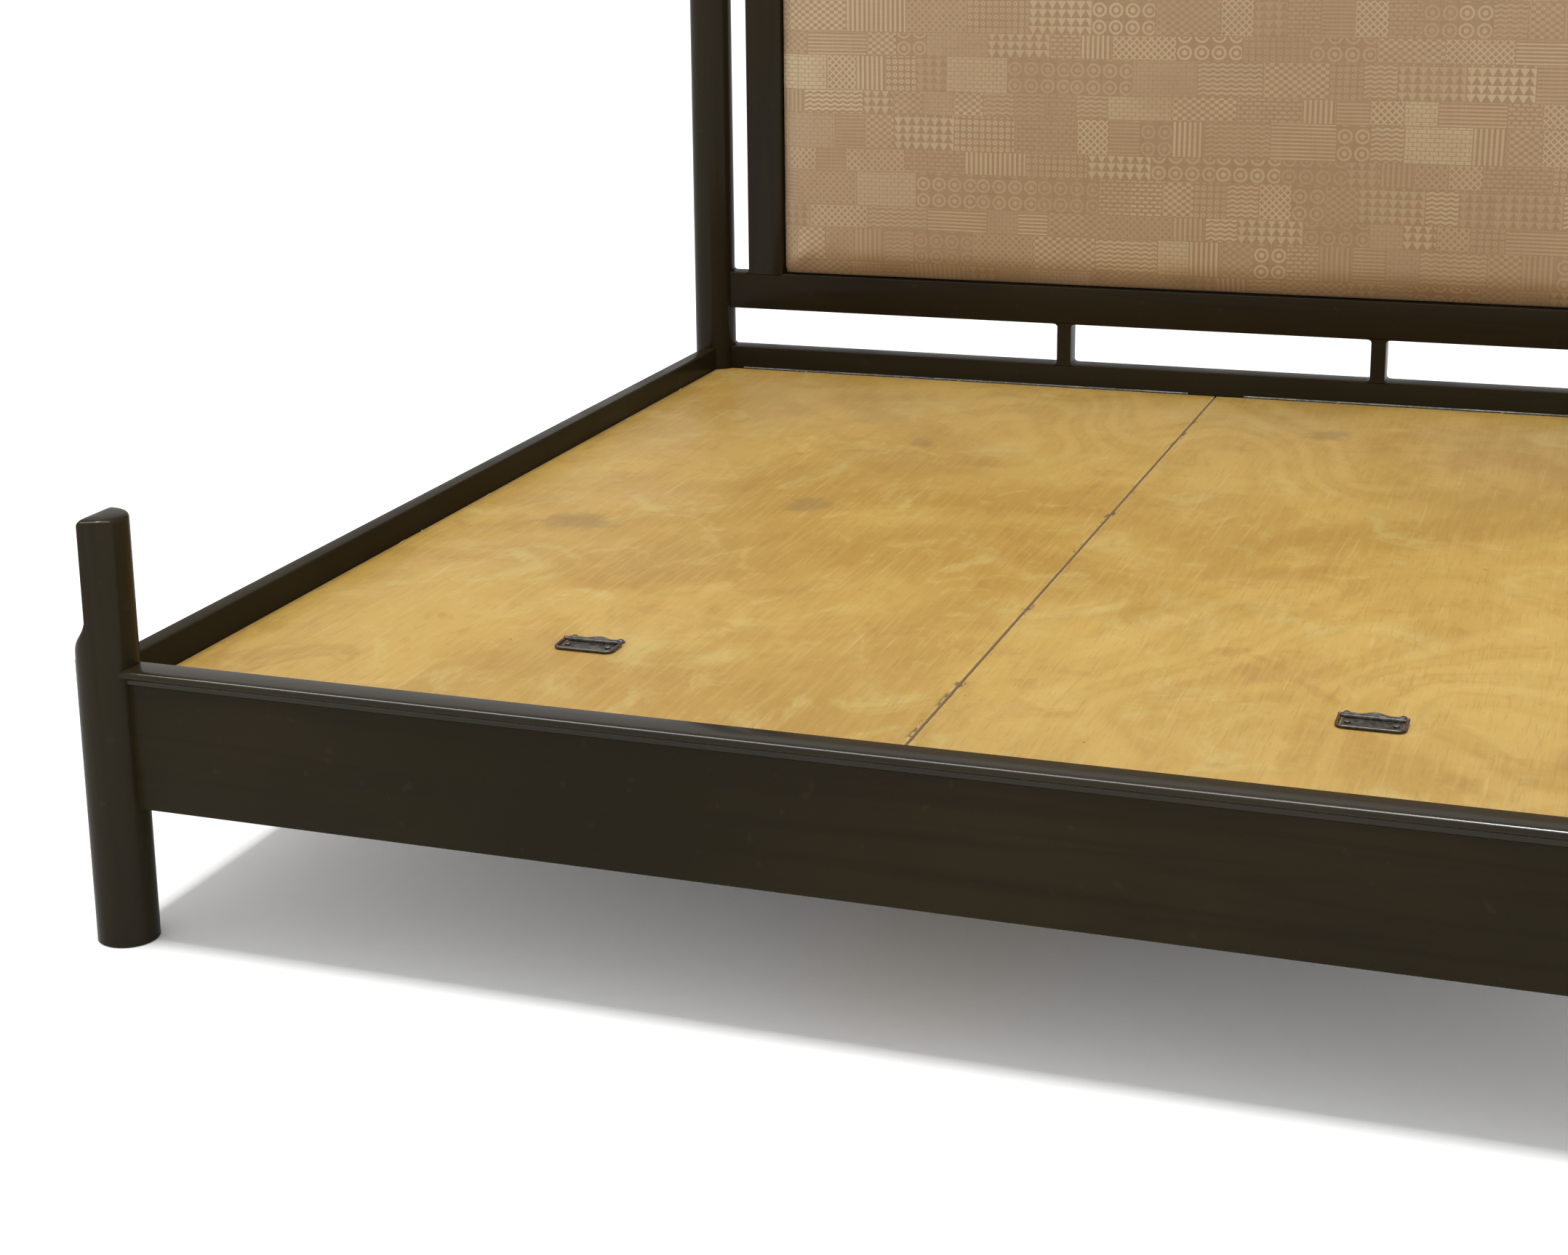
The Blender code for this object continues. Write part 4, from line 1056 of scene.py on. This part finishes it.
def make_bail(side):
    node = f"handle_{side}_bail"
    origin = Vector(HINGES[f"bail_{side}_hinge"]["pos_m"])
    wire, half, reach, corner, elbow = 0.0023, 0.0393, 0.0372, 0.0095, 0.0035
    drop = origin.z - DECK_TOP - wire - 0.0003
    path = [(0.0263, 0.0), (0.0330, 0.0)]
    path += arc((half - elbow, -elbow), elbow, 90, 0, 6)
    path += [(half, -0.012)]
    path += arc((half - corner, corner - reach), corner, 0, -90, 9)
    path += [(0.012, -reach)]
    flat = path + [(-a, b) for a, b in reversed(path)]
    points = [origin + Vector((a, b, drop * b / reach)) for a, b in flat]
    bm = bmesh.new()
    add_wire(bm, points, [(wire, wire)] * len(points))
    tilt = math.radians(63)
    for end in (-1, 1):
        root = origin + Vector((end * (half - 0.0002), -0.0008, -0.0004))
        aim = Vector((0, math.cos(tilt), math.sin(tilt)))
        steps = (0.0, 0.0014, 0.0024, 0.0034, 0.0040, 0.0043)
        sizes = ((0.0022, 0.0022), (0.0023, 0.0021), (0.0024, 0.0019), (0.0023, 0.0017), (0.0018, 0.0012),
                 (0.0008, 0.0006))
        add_wire(bm, [root + aim * step for step in steps], sizes, 16)
    return finish_piece(f"handle_bail_{side}", bm, bail_bronze, [node], sharp=50)


for side in ("left", "right"):
    bail = make_bail(side)
print("bail", [round(v * 1000, 1) for v in bail.dimensions], "mm")

# %% [markdown]
# The screws are pan heads with a cross recess. A head is a stack of rings that follow a low dome, and the recess is
# pressed in wherever a point lies in an arm of the cross.

# %% Screws
PAN_HEAD = [(1.0, 0.45), (0.97, 0.66), (0.90, 0.82), (0.78, 0.92), (0.62, 0.98), (0.50, 1.0), (0.46, 1.0), (0.34, 1.0),
            (0.22, 1.0), (0.08, 1.0)]  # (size, rise), as shares of the radius and the height
CROSS_REACH, CROSS_HALF, CROSS_DEPTH = 0.46, 0.115, 0.45


def add_screw(bm, rings, segments, radius, height, where, cross):
    """A screw head that follows rings of (size, rise), moved by a matrix."""
    face = add_disc(bm, radius, segments)
    verts = set(face.verts)
    for size, rise in rings:
        face = push_out(bm, [face])[0]
        for vert in face.verts:
            flat = Vector((vert.co.x, vert.co.y, 0)).normalized() * radius * size
            vert.co = Vector((flat.x, flat.y, height * rise))
            if cross and size <= CROSS_REACH and min(abs(flat.x), abs(flat.y)) < radius * CROSS_HALF:
                vert.co.z -= height * CROSS_DEPTH
        verts |= set(face.verts)
    bmesh.ops.transform(bm, matrix=where, verts=list(verts))


chance = random.Random(7)
for side in ("left", "right"):
    for number in range(1, 5):
        node = f"handle_{side}_screw_{number}"
        low, high = corners(node)
        seat = DECK_TOP + 0.0023
        where = Matrix.Translation(((low.x + high.x) / 2, (low.y + high.y) / 2, seat))
        turned = where @ Matrix.Rotation(chance.uniform(0, 1.5), 4, "Z")
        bm = bmesh.new()
        add_screw(bm, PAN_HEAD, 40, (high.x - low.x) / 2, high.z - seat, turned, True)
        finish_piece(f"handle_screw_{side}_{number}", bm, bronze, [node], sharp=40)
print("eight screws")

# %% [markdown]
# Round-headed screws hold the cover on the headboard's back, and give it its scale. They have few sides, because
# there are many.

# %% Cover screws
ROUND_HEAD = ((1.0, 0.0010), (0.85, 0.0017), (0.55, 0.0023), (0.40, 0.0023), (0.30, 0.0014))
low, high = corners("headboard_back_cover")
INSET = 0.014
wide, tall = high.x - low.x - 2 * INSET, high.z - low.z - 2 * INSET
spots = [(wide * i / 8, z) for i in range(9) for z in (0, tall)]
spots += [(x, tall * i / 4) for i in range(1, 4) for x in (0, wide)]
bm = bmesh.new()
for x, z in spots:
    where = Matrix.Translation((low.x + INSET + x, high.y - 0.0002, low.z + INSET + z))
    add_screw(bm, ROUND_HEAD, 16, 0.0045, 1.0, where @ Matrix.Rotation(math.radians(-90), 4, "X"), False)
finish_piece("back_cover_screws", bm, zinc, body=BODY_OF["headboard_back_cover"])
print("24 screws on the back cover")

# %% [markdown]
# What carries the deck is plain joinery. Those solids already have the right shape, so they stay and only get their
# finish, with the grain along each one's longest side.

# %% Finishes for the pieces that stay
def longest_axis(node):
    low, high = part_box(node)
    sizes = [high[i] - low[i] for i in range(3)]
    return "xyz"[sizes.index(max(sizes))]


WITH_GRAIN = {"dark_lacquer": lacquer, "pine": pine}
PLAIN = {"woven_fabric": cloth, "dark_bronze": bronze, "zinc_steel": zinc, "back_panel": back_board,
         "birch_plywood": deck_plywood}
for node, slot in SLOT_OF.items():
    finish = PLAIN.get(slot) or WITH_GRAIN[slot][longest_axis(node)]
    if node.startswith("storage_floor"):
        finish = sealed_board
    for place in frame["nodes"][node].material_slots:
        place.material = finish
print("finished", len(SLOT_OF), "plain solids")

# %% [markdown]
# A few splinters stand up from the panels' sawn edges, and crumbs of lint and sawdust lie about. A splinter is a thin
# bent strip, a crumb a squashed little ball, and both ride with the panel that they lie on.

# %% Splinters and crumbs
def add_splinter(bm, x, y, heading, length):
    aim = Vector((math.cos(heading), math.sin(heading), 0))
    side = Vector((-aim.y, aim.x, 0))
    root, shares = Vector((x, y, DECK_TOP - 0.0004)), (0, 0.35, 0.7, 1.0)
    path = [root + length * (aim * s + side * 0.16 * s * s + Vector((0, 0, 0.75 * s - 0.45 * s * s))) for s in shares]
    add_wire(bm, path, [(0.0006 * (1 - 0.8 * s), 0.0003) for s in shares], 5)


def add_crumb(bm, x, y, size, rng):
    made = bmesh.ops.create_icosphere(bm, subdivisions=1, radius=size)
    bmesh.ops.scale(bm, vec=(1, rng.uniform(0.5, 1), 0.5), verts=made["verts"])
    bmesh.ops.rotate(bm, cent=(0, 0, 0), matrix=Matrix.Rotation(rng.uniform(0, 6.3), 3, "Z"), verts=made["verts"])
    bmesh.ops.translate(bm, vec=(x, y, DECK_TOP + size * 0.42), verts=made["verts"])


bare_wood, recipe, shader = new_finish("bare_splinter", Roughness=0.8)
mottle = recipe.noise(recipe.place(), 300.0)
recipe.put(shader["Base Color"], recipe.blend(mottle, (0.42, 0.29, 0.13), (0.66, 0.52, 0.30)))
for side, sign, seed in (("left", -1, 21), ("right", 1, 33)):
    rng = random.Random(seed)
    bm = bmesh.new()
    for _ in range(9):
        along = rng.uniform(-0.95, 0.95)
        if rng.random() < 0.5:
            add_splinter(bm, sign * 0.967, along, math.pi / 2 + rng.uniform(-0.6, 0.6), rng.uniform(0.006, 0.014))
        else:
            add_splinter(bm, sign * rng.uniform(0.06, 0.9), 1.034, rng.uniform(-0.5, 0.5), rng.uniform(0.006, 0.014))
    for _ in range(5):
        add_splinter(bm, sign * 0.0035, rng.uniform(-0.9, 0.9), rng.choice((1.35, 1.8, 4.5)), rng.uniform(0.003, 0.006))
    for _ in range(70):
        add_crumb(bm, sign * rng.uniform(0.02, 0.95), rng.uniform(-1.0, 1.0), rng.uniform(0.0003, 0.0008), rng)
    finish_piece(f"splinters_{side}", bm, bare_wood, body=f"deck_panel_{side}")
print("splinters and crumbs scattered")

# %% [markdown]
# The stage is a plain white floor that runs to the horizon. A broad light straight overhead gives the soft-edged
# shadow. A long softbox over the foot shows only in shiny surfaces, and draws the line of light along the cap. White
# surroundings fill in the rest.

# %% Floor and light
def make_floor():
    bm = bmesh.new()
    bmesh.ops.create_grid(bm, x_segments=1, y_segments=1, size=40)
    mesh = bpy.data.meshes.new("floor")
    bm.to_mesh(mesh)
    bm.free()
    material, r, shader = new_finish("floor_paper", Roughness=0.9, Specular_IOR_Level=0.1)
    fine = r.noise(r.place(), 30.0, 3.0, 0.6)
    r.put(shader["Base Color"], r.blend(fine, (0.90, 0.90, 0.90), (0.94, 0.94, 0.94)))
    mesh.materials.append(material)
    add_object("floor", mesh)


def add_sun(name, elevation, heading, spread, strength):
    """Parallel light. elevation and heading say where it comes from, and spread how soft its shadows are."""
    data = bpy.data.lights.new(name, "SUN")
    data.angle = math.radians(spread)
    data.energy = strength
    add_object(name, data).rotation_euler = (math.radians(90 - elevation), 0, math.radians(heading))


def add_strip(name, place, size, power):
    """A long softbox that looks down and shows only in shiny surfaces."""
    data = bpy.data.lights.new(name, "AREA")
    data.shape = "RECTANGLE"
    data.size, data.size_y = size
    data.energy = power
    light = add_object(name, data)
    light.location = place
    light.visible_diffuse = light.visible_camera = False


def make_surroundings(fill):
    world = bpy.data.worlds.new("studio")
    world.use_nodes = True
    bpy.context.scene.world = world
    r = Recipe(world.node_tree)
    around = world.node_tree.nodes["Background"]
    r.put(around.inputs["Color"], (1.0, 1.0, 1.0))
    r.put(around.inputs["Strength"], fill)
    seen = r.node("ShaderNodeBackground", {"Color": (1.0, 1.0, 1.0), "Strength": 1.05})
    camera_ray = r.node("ShaderNodeLightPath").outputs["Is Camera Ray"]
    mix = r.node("ShaderNodeMixShader", {0: camera_ray, 1: around.outputs[0], 2: seen.outputs[0]})
    r.put(world.node_tree.nodes["World Output"].inputs[0], mix.outputs[0])


make_floor()
add_sun("overhead", 88, 0, 8, 2.2)
add_strip("strip", (-0.3, -1.5, 3.1), (5.2, 0.75), 230)
make_surroundings(0.82)
bpy.context.scene.view_settings.view_transform = "Standard"
print("floor, light and surroundings ready")
